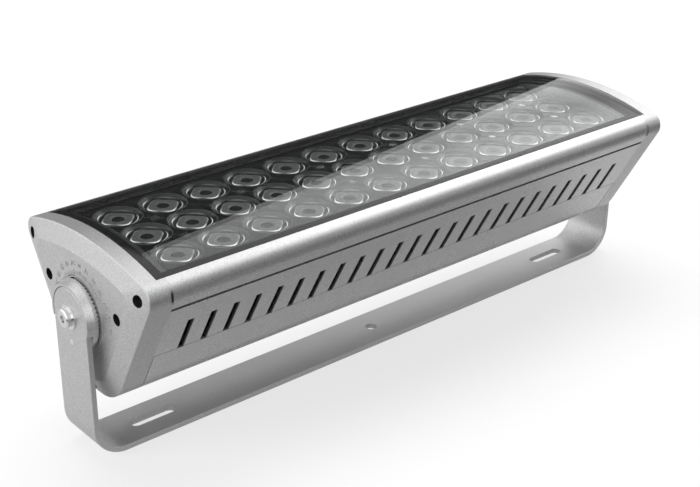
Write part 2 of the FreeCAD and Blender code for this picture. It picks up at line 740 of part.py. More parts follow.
def make_housing():
    """Extruded heat sink: shoulders that carry the glass, a shelf for the board, and fins below it."""
    body = new_body("heatsink_housing")
    on_axis(body)
    section = new_sketch(body, "YZ_Plane")
    draw_loop(section, deck_section(0))
    add_pad(section, BODY_LENGTH, symmetric=True)

    fins = new_sketch(body, "YZ_Plane")
    top = SHELF_TOP - size.shelf_thick / 2
    inner = size.skin + size.lap_thick + size.fin_thick / 2
    for pair in range(int(size.fin_pairs)):
        y = size.fin_pitch * (pair + 0.5)
        edge = y + size.fin_thick / 2
        flank_limit = (FLANK_OUT[0] * edge - FLANK_REACH + inner) / -FLANK_OUT[1]
        bottom = max(size.fin_floor, flank_limit)
        for sign in (-1, 1):
            draw_rectangle(fins, sign * y, (top + bottom) / 2, size.fin_thick, top - bottom)
    add_pad(fins, BODY_LENGTH, symmetric=True)

    ports = new_sketch(body, "YZ_Plane")
    for y, z in screw_places()[2:4]:
        draw_circle(ports, y, z, size.port_radius)
        side_y = math.copysign(size.plate_screw_y, y)
        draw_circle(ports, side_y, size.fin_floor + size.port_radius, size.port_radius)
    add_pad(ports, BODY_LENGTH, symmetric=True)

    for back in (False, True):
        holes = new_sketch(body, "YZ_Plane", ("-" if back else "") + BODY_END_X)
        for y, z in screw_places()[:4]:
            draw_circle(holes, y, z, SCREW_HOLE)
        add_pocket(holes, "Sizes.screw_depth + Sizes.screw_clearance", back=back)

    lens_holes = new_sketch(body, "XY_Plane", SHELF_TOP_Z)
    for x in module_centres():
        for _, y in module_screws():
            draw_circle(lens_holes, x, y, size.lens_screw / 2 + size.screw_clearance)
    add_pocket(lens_holes, "Sizes.lens_screw_depth + Sizes.screw_clearance")

    plate_holes = new_sketch(body, "XY_Plane", "Sizes.fin_floor")
    for x, y in plate_screws():
        draw_circle(plate_holes, x, y, size.small_screw / 2 + size.screw_clearance)
    add_pocket(plate_holes, "Sizes.small_screw_depth + Sizes.screw_clearance", back=True)


def plate_screws():
    """Return the places of the four screws that hold the driver plate."""
    return [(sign_x * (PLATE_END - size.plate_screw_inset), sign_y * size.plate_screw_y)
            for sign_x in (-1, 1) for sign_y in (-1, 1)]


def make_vent_panel(label, turned):
    """Louvred flank panel with a lap that runs down behind the bottom cover."""
    body = new_body(label)
    on_axis(body, "0", turned)
    inner = size.skin + size.lap_thick
    lap_top = SEAM_TOP + size.lap_depth
    section = new_sketch(body, "YZ_Plane")
    draw_loop(section, [flank_point(0, PANEL_TOP), flank_point(0, SEAM_TOP),
                        flank_point(size.skin, SEAM_TOP), flank_point(size.skin, LAP_END),
                        flank_point(inner, LAP_END), flank_point(inner, lap_top),
                        flank_point(size.skin, lap_top), flank_point(size.skin, PANEL_TOP)])
    add_pad(section, BODY_LENGTH, symmetric=True)

    top = flank_point(0, size.vent_top)[1]
    bottom = flank_point(inner, LAP_END)[1] + size.lap_thick
    vents = new_sketch(body, "XZ_Plane")
    for index in range(int(size.vent_count)):
        x = size.vent_pitch * (index - (size.vent_count - 1) / 2)
        draw_rectangle(vents, x, (top + bottom) / 2, size.vent_width, top - bottom)
    add_pocket(vents, "4 * Sizes.belly_drop", symmetric=True)


def make_bottom_cover():
    """Cover that wraps the driver bay from seam to seam, with a screw port along its floor."""
    body = new_body("bottom_cover")
    on_axis(body)
    outer = [flank_point(0, SEAM_BOTTOM)] + belly_path(0, BELLY_RADIUS)
    inner = [flank_point(size.skin, SEAM_BOTTOM)] + belly_path(size.skin, BELLY_RADIUS - size.skin)
    section = new_sketch(body, "YZ_Plane")
    draw_loop(section, mirrored(walked_back(inner) + outer))
    add_pad(section, "2 * (" + BODY_END_X + " - Sizes.seam_gap)", symmetric=True)

    port = new_sketch(body, "YZ_Plane")
    draw_circle(port, 0, LOW_SCREW_Z, size.port_radius)
    add_pad(port, BODY_LENGTH, symmetric=True)
    for back in (False, True):
        hole = new_sketch(body, "YZ_Plane", ("-" if back else "") + BODY_END_X)
        draw_circle(hole, 0, LOW_SCREW_Z, SCREW_HOLE)
        add_pocket(hole, "Sizes.screw_depth + Sizes.screw_clearance", back=back)

    for x in (-FITTING_END, FITTING_END):
        drill_flank(body, x, size.gland_thread / 2 + size.screw_clearance)


def drill_flank(body, x, radius):
    """Drill a round hole through the rear flank, square to it."""
    sketch = new_sketch(body, "XY_Plane")
    y, z = flank_point(-size.skin, GLAND_HEIGHT)
    turn = FreeCAD.Rotation(X_AXIS, -90 - size.flank_lean)
    sketch.setExpression("AttachmentOffset.Base.z", None)
    sketch.AttachmentOffset = FreeCAD.Placement(FreeCAD.Vector(x, y, z), turn)
    draw_circle(sketch, 0, 0, radius)
    add_pocket(sketch, "4 * Sizes.skin")


# ---------------------------------------------------------------- glass and end caps

def make_glass():
    """Curved cover glass, concentric with the arch."""
    body = new_body("cover_glass")
    on_axis(body)
    edge = GLASS_SIDE
    draw_band(body, size.arch_radius, BELOW_GLASS, edge, "2 * " + GLASS_END_X)


def draw_band(body, outer_radius, inner_radius, edge, length):
    """Pad a band between two concentric arcs, symmetric about the middle."""
    section = new_sketch(body, "YZ_Plane")
    left_out = on_arch(outer_radius, -edge)
    right_out = on_arch(outer_radius, edge)
    left_in = on_arch(inner_radius, -edge)
    right_in = on_arch(inner_radius, edge)
    draw_loop(section, [left_out, (0, ARCH_CENTRE[1] + outer_radius, right_out[0], right_out[1]),
                        right_in, (0, ARCH_CENTRE[1] + inner_radius, left_in[0], left_in[1])])
    return add_pad(section, length, symmetric=True)


def make_glass_gasket():
    """Silicone frame that the glass is bonded to."""
    body = new_body("glass_gasket")
    on_axis(body)
    edge = GLASS_SIDE
    draw_band(body, BELOW_GLASS - size.bond_gap, BELOW_GASKET + size.bond_gap, edge, "2 * " + GLASS_END_X)
    window = new_sketch(body, "XY_Plane")
    draw_rectangle(window, 0, 0, 2 * (GLASS_END - size.frame_end + size.tongue_gap),
                   2 * (GLASS_SIDE - size.gasket_width))
    add_pocket(window, "4 * Sizes.arch_peak", symmetric=True)


def make_end_cap(label, turned):
    """Cast end cap: crowned face with the dial ring, glass seat, screw recesses and pivot boss."""
    body = new_body(label)
    on_axis(body, "0", turned)
    outline = new_sketch(body, "YZ_Plane", BODY_END_X)
    draw_loop(outline, head_outline(0, size.shoulder_radius, BELLY_RADIUS))
    add_pad(outline, CAP_DEPTH)

    foot = new_sketch(body, "YZ_Plane", CAP_EDGE_X)
    draw_loop(foot, head_outline(0, size.shoulder_radius, BELLY_RADIUS))
    crown = new_sketch(body, "YZ_Plane", CAP_FACE_X)
    draw_loop(crown, head_outline(size.crown_inset, size.crown_corner, BELLY_RADIUS - size.crown_inset))
    loft = body.newObject("PartDesign::AdditiveLoft", "Crown")
    loft.Profile = foot
    loft.Sections = [crown]
    loft.Ruled = True
    body.Tip = loft
    doc.recompute()
    round_edges(loft, is_crown_foot, "Sizes.edge_round")

    tongue = new_sketch(body, "YZ_Plane", BODY_END_X)
    draw_loop(tongue, tongue_section())
    add_pad(tongue, "Sizes.frame_end - Sizes.glass_overhang", back=True)

    hollow = new_sketch(body, "YZ_Plane", BODY_END_X)
    draw_loop(hollow, hollow_section())
    add_pocket(hollow, CAP_DEPTH + " - Sizes.cap_end_wall", back=True)

    bosses = new_sketch(body, "YZ_Plane", BODY_END_X)
    draw_circle(bosses, 0, 0, size.pivot_boss_radius)
    for y, z in screw_places()[2:]:
        draw_circle(bosses, y, z, size.screw_boss_radius)
    add_pad(bosses, CAP_DEPTH)

    rebate = new_sketch(body, "YZ_Plane", BODY_END_X)
    seat_in = on_arch(BELOW_GASKET, -SEAT_EDGE)
    seat_out = on_arch(BELOW_GASKET, SEAT_EDGE)
    above = size.arch_peak + size.glass_thick
    peak = ARCH_CENTRE[1] + BELOW_GASKET
    draw_loop(rebate, [(-SEAT_EDGE, above), seat_in, (0, peak, seat_out[0], seat_out[1]),
                       (SEAT_EDGE, above)])
    add_pocket(rebate, "Sizes.glass_overhang + Sizes.glass_gap", back=True)

    groove = new_sketch(body, "YZ_Plane", BODY_END_X)
    draw_loop(groove, deck_section(size.cap_gasket_inset - size.tongue_gap))
    add_pocket(groove, "Sizes.cap_gasket_thick", back=True)

    drill_cap(body)
    add_dial(body)


def is_crown_foot(box):
    """Tell whether an edge with this box lies where a cap's crown starts."""
    return abs(box.XMin - CAP_EDGE) < NEAR and abs(box.XMax - CAP_EDGE) < NEAR


def tongue_section():
    """Return the loop of the cap's tongue, which closes the lens chamber and carries the glass end."""
    wall = CHAMBER_EDGE - size.tongue_gap
    floor = SHELF_TOP + size.tongue_gap
    left = on_arch(BELOW_GASKET, -wall)
    right = on_arch(BELOW_GASKET, wall)
    return [(-wall, floor), left, (0, ARCH_CENTRE[1] + BELOW_GASKET, right[0], right[1]), (wall, floor)]


def hollow_section():
    """Return the loop of the hollow inside a cap, below the lens deck."""
    level = SHELF_TOP - size.cap_recess_drop
    top = flank_point(size.cap_wall, flank_height_at(size.cap_wall, level))
    low = belly_path(size.cap_wall, BELLY_RADIUS - size.cap_wall)
    return mirrored([top] + low)


def drill_cap(body):
    """Drill the recessed screw holes, the insert's seat and the bolt hole."""
    holes = new_sketch(body, "YZ_Plane", CAP_FACE_X)
    recesses = new_sketch(body, "YZ_Plane", CAP_FACE_X)
    for y, z in screw_places():
        draw_circle(holes, y, z, SCREW_HOLE)
        draw_circle(recesses, y, z, size.head_recess / 2)
    draw_circle(holes, 0, 0, size.bolt_diameter / 2 + size.bolt_free_gap)
    add_pocket(holes, "2 * Sizes.rim_width + 2 * Sizes.frame_end")
    add_pocket(recesses, "Sizes.head_recess_depth + Sizes.crown_height / 2")
    seat = new_sketch(body, "YZ_Plane", BODY_END_X)
    draw_circle(seat, 0, 0, size.insert_diameter / 2)
    add_pocket(seat, CAP_DEPTH + " + Sizes.crown_height - Sizes.cap_end_wall", back=True)


def add_dial(body):
    """Raise the dial ring, open its reading window and notch the sleeve at the shoulders."""
    ring = new_sketch(body, "YZ_Plane", CAP_FACE_X)
    outer = size.dial_ring_inner + size.dial_ring_width
    draw_circle(ring, 0, 0, size.dial_ring_inner)
    draw_circle(ring, 0, 0, outer)
    add_pad(ring, "Sizes.dial_ring_height")

    window = new_sketch(body, "YZ_Plane", CAP_FACE_X + " + Sizes.dial_ring_height")
    wall_face = outer - size.dial_bite - size.dial_window_wall
    draw_sector(window, wall_face - size.dial_window_width, wall_face)
    add_pocket(window, "Sizes.dial_window_depth + Sizes.dial_ring_height")
    bite = new_sketch(body, "YZ_Plane", CAP_FACE_X + " + Sizes.dial_ring_height")
    draw_sector(bite, outer - size.dial_bite, outer + size.dial_bite)
    add_pocket(bite, "Sizes.dial_bite_depth + Sizes.dial_ring_height")

    notch = new_sketch(body, "YZ_Plane", BODY_END_X)
    centre_y, centre_z = shoulder_centre(0, size.shoulder_radius)
    inner = centre_y + size.shoulder_radius - size.notch_depth
    outside = inner + 2 * size.notch_depth + size.shoulder_radius
    for sign in (-1, 1):
        draw_rectangle(notch, sign * (inner + outside) / 2, centre_z, outside - inner, size.notch_height)
    add_pocket(notch, "Sizes.notch_width", back=True)


def draw_sector(sketch, inner, outer):
    """Add a ring sector over the dial window's angles, on the cap's forward side."""
    start = 90 + size.dial_window_start
    end = 90 + size.dial_window_end
    middle = (start + end) / 2
    draw_loop(sketch, [polar(outer, start), polar(outer, middle) + polar(outer, end),
                       polar(inner, end), polar(inner, middle) + polar(inner, start)])


def make_cap_gasket(label, turned):
    """Gasket between an end cap and the end of the housing."""
    body = new_body(label)
    on_axis(body, "0", turned)
    section = new_sketch(body, "YZ_Plane", BODY_END_X)
    draw_loop(section, deck_section(size.cap_gasket_inset))
    add_pad(section, "Sizes.cap_gasket_thick")
    holes = new_sketch(body, "YZ_Plane", BODY_END_X)
    for y, z in screw_places()[:2]:
        draw_circle(holes, y, z, SCREW_HOLE)
    add_pocket(holes, "Sizes.cap_gasket_thick", back=True)


def make_cap_screws(label, turned):
    """Five socket screws that hold one end cap."""
    body = new_body(label, several=True)
    on_axis(body, "0", turned)
    sink = "Sizes.head_recess_depth - Sizes.crown_height / 2"
    seat = CAP_EDGE_X + " - (" + sink + ")"
    heads = new_sketch(body, "YZ_Plane", seat)
    shanks = new_sketch(body, "YZ_Plane", seat)
    sockets = new_sketch(body, "YZ_Plane", seat + " + Sizes.screw_diameter")
    for y, z in screw_places():
        draw_circle(heads, y, z, size.screw_head / 2)
        draw_circle(shanks, y, z, size.screw_diameter / 2)
        draw_hexagon(sockets, y, z, size.screw_socket)
    add_pad(heads, "Sizes.screw_diameter")
    add_pad(shanks, CAP_DEPTH + " - (" + sink + ") + Sizes.screw_depth", back=True)
    add_pocket(sockets, "Sizes.screw_socket_depth")


# ---------------------------------------------------------------- light engine

def make_board():
    """LED circuit board on the shelf."""
    body = new_body("led_board")
    on_axis(body)
    outline = new_sketch(body, "XY_Plane", SHELF_TOP_Z)
    length = size.lens_columns * size.lens_pitch + 2 * size.module_gap
    draw_rectangle(outline, 0, 0, length, 2 * (MODULE_EDGE - size.board_inset))
    for x in module_centres():
        for _, y in module_screws():
            draw_circle(outline, x, y, size.lens_screw / 2 + size.screw_clearance)
    add_pad(outline, "Sizes.board_thick")


def make_leds():
    """The emitters: a square package with a small dome, one under each lens."""
    body = new_body("leds", several=True)
    on_axis(body)
    level = SHELF_TOP_Z + " + Sizes.board_thick"
    packages = new_sketch(body, "XY_Plane", level)
    domes = new_sketch(body, "XY_Plane", level + " + Sizes.led_thick")
    for x in cell_offsets(size.lens_columns):
        for y in cell_offsets(size.lens_rows):
            draw_rectangle(packages, x, y, size.led_size, size.led_size)
            draw_circle(domes, x, y, size.dome_radius)
    add_pad(packages, "Sizes.led_thick")
    add_pad(domes, "Sizes.dome_height", taper=-30)


def make_lens_module(index):
    """Clear plate with dished lenses: a crown in a groove, on a tapering core down to an emitter."""
    body = new_body(f"lens_module_{index}")
    middle = "(Sizes.lens_columns / Sizes.module_columns + 1) / 2"
    on_axis(body, f"Sizes.lens_pitch * Sizes.module_columns * ({index} - {middle})")
    centres = [(cell_x, cell_y) for cell_x in cell_offsets(size.module_columns)
               for cell_y in cell_offsets(size.lens_rows)]
    plate = new_sketch(body, "XY_Plane", LENS_TOP_Z + " - Sizes.lens_plate")
    draw_rectangle(plate, 0, 0, module_pitch() - size.module_gap, 2 * MODULE_EDGE)
    add_pad(plate, "Sizes.lens_plate")

    cores = new_sketch(body, "XY_Plane", LENS_TOP_Z + " - Sizes.lens_plate")
    wells = new_sketch(body, "XY_Plane", SHELF_TOP_Z + " + Sizes.board_thick + Sizes.led_thick"
                       " + Sizes.lens_core_clear")
    dishes = new_sketch(body, "XY_Plane", LENS_TOP_Z)
    recesses = new_sketch(body, "XY_Plane", LENS_TOP_Z + " - Sizes.lens_dish_depth")
    grooves = new_sketch(body, "XY_Plane", LENS_TOP_Z + " - Sizes.lens_dish_depth")
    for cell_x, cell_y in centres:
        draw_circle(cores, cell_x, cell_y, size.lens_groove_radius + size.lens_core_wall)
        draw_circle(grooves, cell_x, cell_y, size.lens_groove_radius)
        draw_turned_square(grooves, cell_x, cell_y, CROWN_HALF, size.lens_crown_corner)
        draw_circle(wells, cell_x, cell_y, size.well_radius)
        draw_circle(dishes, cell_x, cell_y, size.lens_rim_radius)
        draw_circle(recesses, cell_x, cell_y, size.lens_recess_radius)
    add_pad(cores, POST_LENGTH + " - Sizes.led_thick - Sizes.lens_core_clear", back=True,
            taper=-size.lens_core_taper)
    add_pocket(wells, "Sizes.well_depth", back=True)
    add_pocket(dishes, "Sizes.lens_dish_depth", taper=-size.lens_dish_taper)
    add_pocket(recesses, "Sizes.lens_recess_depth")
    add_pocket(grooves, "Sizes.lens_groove_depth")

    posts = new_sketch(body, "XY_Plane", LENS_TOP_Z + " - Sizes.lens_plate")
    holes = new_sketch(body, "XY_Plane", LENS_TOP_Z)
    seats = new_sketch(body, "XY_Plane", LENS_TOP_Z)
    for screw_x, screw_y in module_screws():
        draw_circle(posts, screw_x, screw_y, size.lens_post_radius)
        draw_circle(holes, screw_x, screw_y, size.lens_screw / 2 + size.screw_clearance)
        draw_circle(seats, screw_x, screw_y, size.lens_screw_head / 2 + size.screw_clearance)
    add_pad(posts, POST_LENGTH, back=True)
    add_pocket(holes, LENS_TOP_Z)
    add_pocket(seats, "Sizes.lens_screw_recess")


def module_pitch():
    """Return the length of one module along the light."""
    return size.lens_pitch * size.module_columns


def make_lens_screws():
    """Pan-head screws through the modules and the board into the shelf."""
    body = new_body("lens_screws", several=True)
    on_axis(body)
    seat = LENS_TOP_Z + " - Sizes.lens_screw_recess"
    heads = new_sketch(body, "XY_Plane", seat)
    shanks = new_sketch(body, "XY_Plane", seat)
    for x in module_centres():
        for _, y in module_screws():
            draw_circle(heads, x, y, size.lens_screw_head / 2)
            draw_circle(shanks, x, y, size.lens_screw / 2)
    add_pad(heads, "Sizes.lens_screw_head_height")
    add_pad(shanks, seat + " - " + SHELF_TOP_Z + " + Sizes.lens_screw_depth", back=True)


# ---------------------------------------------------------------- driver bay

def make_driver_bay():
    """Plate under the fins, with the driver and the terminal block hung from it."""
    plate = new_body("driver_plate")
    on_axis(plate)
    outline = new_sketch(plate, "XY_Plane", "Sizes.fin_floor")
    draw_rectangle(outline, 0, 0, 2 * PLATE_END, size.plate_width)
    small_hole = size.small_screw / 2 + size.screw_clearance
    for x, y in plate_screws() + driver_screws():
        draw_circle(outline, x, y, small_hole)
    add_pad(outline, "Sizes.plate_thick", back=True)

    driver = new_body("led_driver")
    on_axis(driver)
    case = new_sketch(driver, "XY_Plane", PLATE_UNDER_Z)
    draw_rectangle(case, DRIVER_X, 0, size.driver_length, size.driver_width)
    add_pad(case, "Sizes.driver_height", back=True)
    ears = new_sketch(driver, "XY_Plane", PLATE_UNDER_Z)
    draw_rectangle(ears, DRIVER_X, 0, size.driver_length + 2 * size.driver_ear,
                   size.driver_width / 2)
    for x, y in driver_screws():
        draw_circle(ears, x, y, small_hole)
    add_pad(ears, "Sizes.driver_ear_thick", back=True)

    terminal = new_body("terminal_block")
    on_axis(terminal)
    block = new_sketch(terminal, "XY_Plane", PLATE_UNDER_Z)
    draw_rectangle(block, TERMINAL_X, 0, size.terminal_length, size.terminal_width)
    add_pad(block, "Sizes.terminal_height", back=True)
    mouths = new_sketch(terminal, "XZ_Plane", "Sizes.terminal_width / 2")
    mouth_z = size.fin_floor - size.plate_thick - size.terminal_height / 2
    for step in (-1, 0, 1):
        draw_circle(mouths, TERMINAL_X + step * size.terminal_pitch, mouth_z, size.terminal_mouth / 2)
    add_pocket(mouths, "Sizes.terminal_mouth_depth")

    make_small_screws("plate_screws", plate_screws(), PLATE_UNDER_Z,
                      "Sizes.small_screw_depth + Sizes.plate_thick")
    make_small_screws("driver_screws", driver_screws(),
                      PLATE_UNDER_Z + " - Sizes.driver_ear_thick",
                      "Sizes.plate_thick + Sizes.driver_ear_thick")


def driver_screws():
    """Return the places of the screws through the driver's ears."""
    reach = (size.driver_length + size.driver_ear) / 2
    return [(DRIVER_X - reach, 0), (DRIVER_X + reach, 0)]


def make_small_screws(label, places, seat, length):
    """Screws that enter upward from a seat."""
    body = new_body(label, several=True)
    on_axis(body)
    heads = new_sketch(body, "XY_Plane", seat)
    shanks = new_sketch(body, "XY_Plane", seat)
    for x, y in places:
        draw_circle(heads, x, y, size.small_screw_head / 2)
        draw_circle(shanks, x, y, size.small_screw / 2)
    add_pad(heads, "Sizes.small_screw_head_height", back=True)
    add_pad(shanks, length)


# ---------------------------------------------------------------- rear fittings

def on_flank(body, x):
    """Place a fitting on the rear flank of the bottom cover, its own Z pointing out of it."""
    y, z = flank_point(0, GLAND_HEIGHT)
    turn = FreeCAD.Rotation(X_AXIS, -90 - size.flank_lean)
    body.Placement = FreeCAD.Placement(FreeCAD.Vector(0, y, 0), turn)
    body.setExpression("Placement.Base.x", x)
    body.setExpression("Placement.Base.z", f"Sizes.pivot_height + {z}")


def add_round(body, offset, length, radius, back=False):
    """Pad a disc on the fitting's own axis."""
    sketch = new_sketch(body, "XY_Plane", offset)
    draw_circle(sketch, 0, 0, radius)
    add_pad(sketch, length, back=back)


def add_hexagon(body, offset, length, across_flats, back=False):
    """Pad a hexagon on the fitting's own axis."""
    sketch = new_sketch(body, "XY_Plane", offset)
    draw_hexagon(sketch, 0, 0, across_flats)
    add_pad(sketch, length, back=back)


def drill_through(body, radius):
    """Drill the whole fitting along its own axis."""
    bore = new_sketch(body, "XY_Plane")
    draw_circle(bore, 0, 0, radius)
    add_pocket(bore, "8 * Sizes.gland_hex", symmetric=True)


def make_fittings():
    """Cable gland with its nut, seal and locknut, and the pressure breather."""
    thread = size.gland_thread / 2
    gland = new_body("cable_gland")
    on_flank(gland, "-" + FITTING_X)
    add_round(gland, "0", "Sizes.gland_inside", thread, back=True)
    add_hexagon(gland, "0", "Sizes.gland_hex_height", size.gland_hex)
    add_round(gland, "Sizes.gland_hex_height", "Sizes.gland_collar_height", size.gland_collar / 2)
    drill_through(gland, size.gland_bore / 2)

    nut = new_body("gland_nut")
    on_flank(nut, "-" + FITTING_X)
    start = "Sizes.gland_hex_height + Sizes.gland_nut_gap"
    add_hexagon(nut, start, "Sizes.gland_nut_flat", size.gland_nut_hex)
    add_round(nut, start, "Sizes.gland_nut_height", size.gland_nut_round / 2)
    drill_through(nut, size.gland_bore / 2)
    well = new_sketch(nut, "XY_Plane", start)
    draw_circle(well, 0, 0, size.gland_collar / 2 + size.screw_clearance)
    add_pocket(well, "Sizes.gland_collar_height", back=True)

    seal = new_body("gland_seal")
    on_flank(seal, "-" + FITTING_X)
    add_round(seal, "Sizes.gland_hex_height", "Sizes.seal_length", size.gland_bore / 2)
    drill_through(seal, size.seal_bore / 2)

    for label, x in (("gland_locknut", "-" + FITTING_X), ("breather_locknut", FITTING_X)):
        locknut = new_body(label)
        on_flank(locknut, x)
        add_hexagon(locknut, "-Sizes.skin", "Sizes.locknut_height", size.gland_hex, back=True)
        drill_through(locknut, thread + size.screw_clearance)

    breather = new_body("breather_plug")
    on_flank(breather, FITTING_X)
    add_round(breather, "0", "Sizes.gland_inside", thread, back=True)
    add_hexagon(breather, "0", "Sizes.breather_hex_height", size.gland_hex)
    add_round(breather, "0", "Sizes.breather_height", size.breather_round / 2)


# ---------------------------------------------------------------- the assembly

make_yoke()
make_pivots()
make_housing()
make_vent_panel("vent_panel_front", True)
make_vent_panel("vent_panel_rear", False)
make_bottom_cover()
make_glass()
make_glass_gasket()
for end_name, end_turned in (("left", True), ("right", False)):
    make_end_cap("end_cap_" + end_name, end_turned)
    make_cap_gasket("cap_gasket_" + end_name, end_turned)
    make_cap_screws("cap_screws_" + end_name, end_turned)
make_board()
make_leds()
for module_index in range(1, len(module_centres()) + 1):
    make_lens_module(module_index)
make_lens_screws()
make_driver_bay()
make_fittings()
doc.recompute()

for item in doc.Objects:
    if "Invalid" in item.State or "Error" in item.State:
        raise ValueError(f"{item.Label} did not recompute: {item.State}")
os.makedirs("parts", exist_ok=True)
for item in parts:
    if item.Shape.isNull() or not item.Shape.isValid():
        raise ValueError(f"{item.Label} has no valid shape")
    item.Shape.exportStep(f"parts/{item.Label}.step")
    print(item.Label, len(item.Shape.Solids), round(item.Shape.Volume))
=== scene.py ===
"""Outdoor wall washer light: its finishes, its small forms and the studio that it stands in.

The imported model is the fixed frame: +X along the light, +Z up, the origin in the middle of the yoke's base.
Shapes are worked out in millimetres in that frame and made in metres.  Finishes, lamps and the camera are
in metres throughout.
"""

import json
import logging
import math
from collections.abc import Iterator
from contextlib import contextmanager
from dataclasses import dataclass, field
from enum import Enum

import bmesh
import bpy
import numpy as np
from mathutils import Matrix, Vector


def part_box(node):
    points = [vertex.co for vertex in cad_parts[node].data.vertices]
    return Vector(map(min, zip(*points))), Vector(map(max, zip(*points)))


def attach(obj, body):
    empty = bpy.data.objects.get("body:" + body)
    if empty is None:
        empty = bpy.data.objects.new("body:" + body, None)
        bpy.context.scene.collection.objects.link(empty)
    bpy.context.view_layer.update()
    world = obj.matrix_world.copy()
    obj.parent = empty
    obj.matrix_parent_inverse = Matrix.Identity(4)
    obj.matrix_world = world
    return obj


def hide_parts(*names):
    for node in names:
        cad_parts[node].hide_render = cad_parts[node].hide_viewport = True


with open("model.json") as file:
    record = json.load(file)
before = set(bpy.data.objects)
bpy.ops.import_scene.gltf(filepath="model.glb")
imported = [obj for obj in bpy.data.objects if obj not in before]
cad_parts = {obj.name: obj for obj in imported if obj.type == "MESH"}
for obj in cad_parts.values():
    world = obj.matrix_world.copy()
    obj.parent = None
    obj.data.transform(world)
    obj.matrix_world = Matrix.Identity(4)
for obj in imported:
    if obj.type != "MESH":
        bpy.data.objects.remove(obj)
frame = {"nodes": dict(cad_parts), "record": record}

LOG = logging.getLogger("wall_washer")
Array = np.ndarray
Mesh = bpy.types.Mesh
Material = bpy.types.Material
Node = bpy.types.Node
Socket = bpy.types.NodeSocket
Colour = tuple[float, float, float]
Point = tuple[float, float, float]
Span = tuple[float, float]

MM = 0.001  # a millimetre in metres
MERGE = 1e-7  # points nearer than this, in metres, are one
SLACK = 0.001  # allowed where worked-out sizes or angles are compared
PIVOT_HEIGHT = 102.0  # the standing surface to the tilt axis
CAP_FACE = 249.3  # the middle to an end cap's flat face
FLANK_REACH = 51.398  # the tilt axis to a flank
FLANK_LEAN = math.radians(29.2)  # how far a flank leans outward from upright
NOISE_SPAN = (0.3, 0.7)  # where nearly all of a noise's values lie
WHITE = (1.0, 1.0, 1.0, 1.0)


class Side(Enum):
    """The two ends of the light."""

    LEFT = -1
    RIGHT = 1

    @property
    def word(self) -> str:
        """Return the end's name as it is written in the nodes' names."""
        return self.name.lower()


# -------- shader helpers


class Nodes:
    """Adds shader nodes to a material or a world and joins them."""

    def __init__(self, owner: bpy.types.ID) -> None:
        """Start an empty node tree.

        Args:
            owner: The material or world that the nodes belong to.
        """
        owner.use_nodes = True
        self.tree = owner.node_tree
        self.tree.nodes.clear()

    def add(self, kind: str, inputs: dict | None = None, **settings: object) -> Node:
        """Add a node.

        Args:
            kind: The node's type without its ShaderNode prefix.
            inputs: Values, or sockets to join, by the input's name or number.
            settings: The node's own properties.

        Returns:
            The new node.
        """
        node = self.tree.nodes.new("ShaderNode" + kind)
        for name, value in settings.items():
            setattr(node, name, value)
        for name, value in (inputs or {}).items():
            if isinstance(value, Socket):
                self.tree.links.new(value, node.inputs[name])
            else:
                node.inputs[name].default_value = value
        return node

    def maths(self, operation: str, *values: Socket | float) -> Socket:
        """Return the result of a Math node."""
        return self.add("Math", dict(enumerate(values)), operation=operation).outputs[0]

    def times(self, first: Socket, second: Socket | float) -> Socket:
        """Return the product of two values."""
        return self.maths("MULTIPLY", first, second)

    def mix(self, share: Socket, first: Socket | float, second: Socket | float) -> Socket:
        """Return a value between two: the first where the share is 0, the second where it is 1."""
        return self.add("Mix", {0: share, 2: first, 3: second}, data_type="FLOAT").outputs[0]

    def ramp(self, value: Socket, span: Span, start: float = 0.0, end: float = 1.0) -> Socket:
        """Map a value smoothly from one range to another.

        Args:
            value: The value to map.
            span: Where the change begins and ends.
            start: The result up to the span's beginning.
            end: The result from the span's end on.

        Returns:
            The mapped value.
        """
        node = self.add("MapRange", {"Value": value, "From Min": span[0], "From Max": span[1],
                                     "To Min": start, "To Max": end}, interpolation_type="SMOOTHSTEP")
        return node.outputs["Result"]

    def position(self) -> Socket:
        """Return the place in object space, in metres."""
        return self.add("TexCoord").outputs["Object"]

    def axes(self, vector: Socket) -> bpy.types.NodeOutputs:
        """Return a vector's parts, by the names X, Y and Z."""
        return self.add("SeparateXYZ", {"Vector": vector}).outputs

    def along(self, vector: Socket, way: Point) -> Socket:
        """Return how far a vector goes a way, as the dot product of both."""
        return self.add("VectorMath", {0: vector, 1: way}, operation="DOT_PRODUCT").outputs["Value"]

    def noise(self, size: float, detail: float = 2.0) -> Socket:
        """Return noise in object space with features of about this size in metres."""
        node = self.add("TexNoise", {"Vector": self.position(), "Scale": 1.0 / size, "Detail": detail})
        return node.outputs["Fac"]

    def drift(self, size: float, low: float, high: float, detail: float = 3.0) -> Socket:
        """Return a value that wanders between two, as noise of this size does."""
        return self.ramp(self.noise(size, detail), NOISE_SPAN, low, high)

    def bumps(self, height: Socket, distance: float, strength: float) -> Socket:
        """Return a normal disturbed by a height of up to a distance in metres."""
        node = self.add("Bump", {"Height": height, "Distance": distance, "Strength": strength})
        return node.outputs["Normal"]

    def grey(self, tone: Socket) -> Socket:
        """Return the grey of a tone."""
        return self.add("CombineColor", {"Red": tone, "Green": tone, "Blue": tone}).outputs["Color"]

    def tinted(self, colour: Colour, bright: Socket) -> Socket:
        """Return a colour made lighter or darker by a factor."""
        channels = zip(("Red", "Green", "Blue"), colour)
        inputs = {name: self.times(bright, value) for name, value in channels}
        return self.add("CombineColor", inputs).outputs["Color"]

    def from_pivot(self) -> tuple[Socket, Socket, Socket]:
        """Return the distances from the middle along and across the light, and the height over the axis."""
        parts = self.axes(self.position())
        return (self.maths("ABSOLUTE", parts["X"]), self.maths("ABSOLUTE", parts["Y"]),
                self.maths("SUBTRACT", parts["Z"], PIVOT_HEIGHT * MM))


# -------- finishes


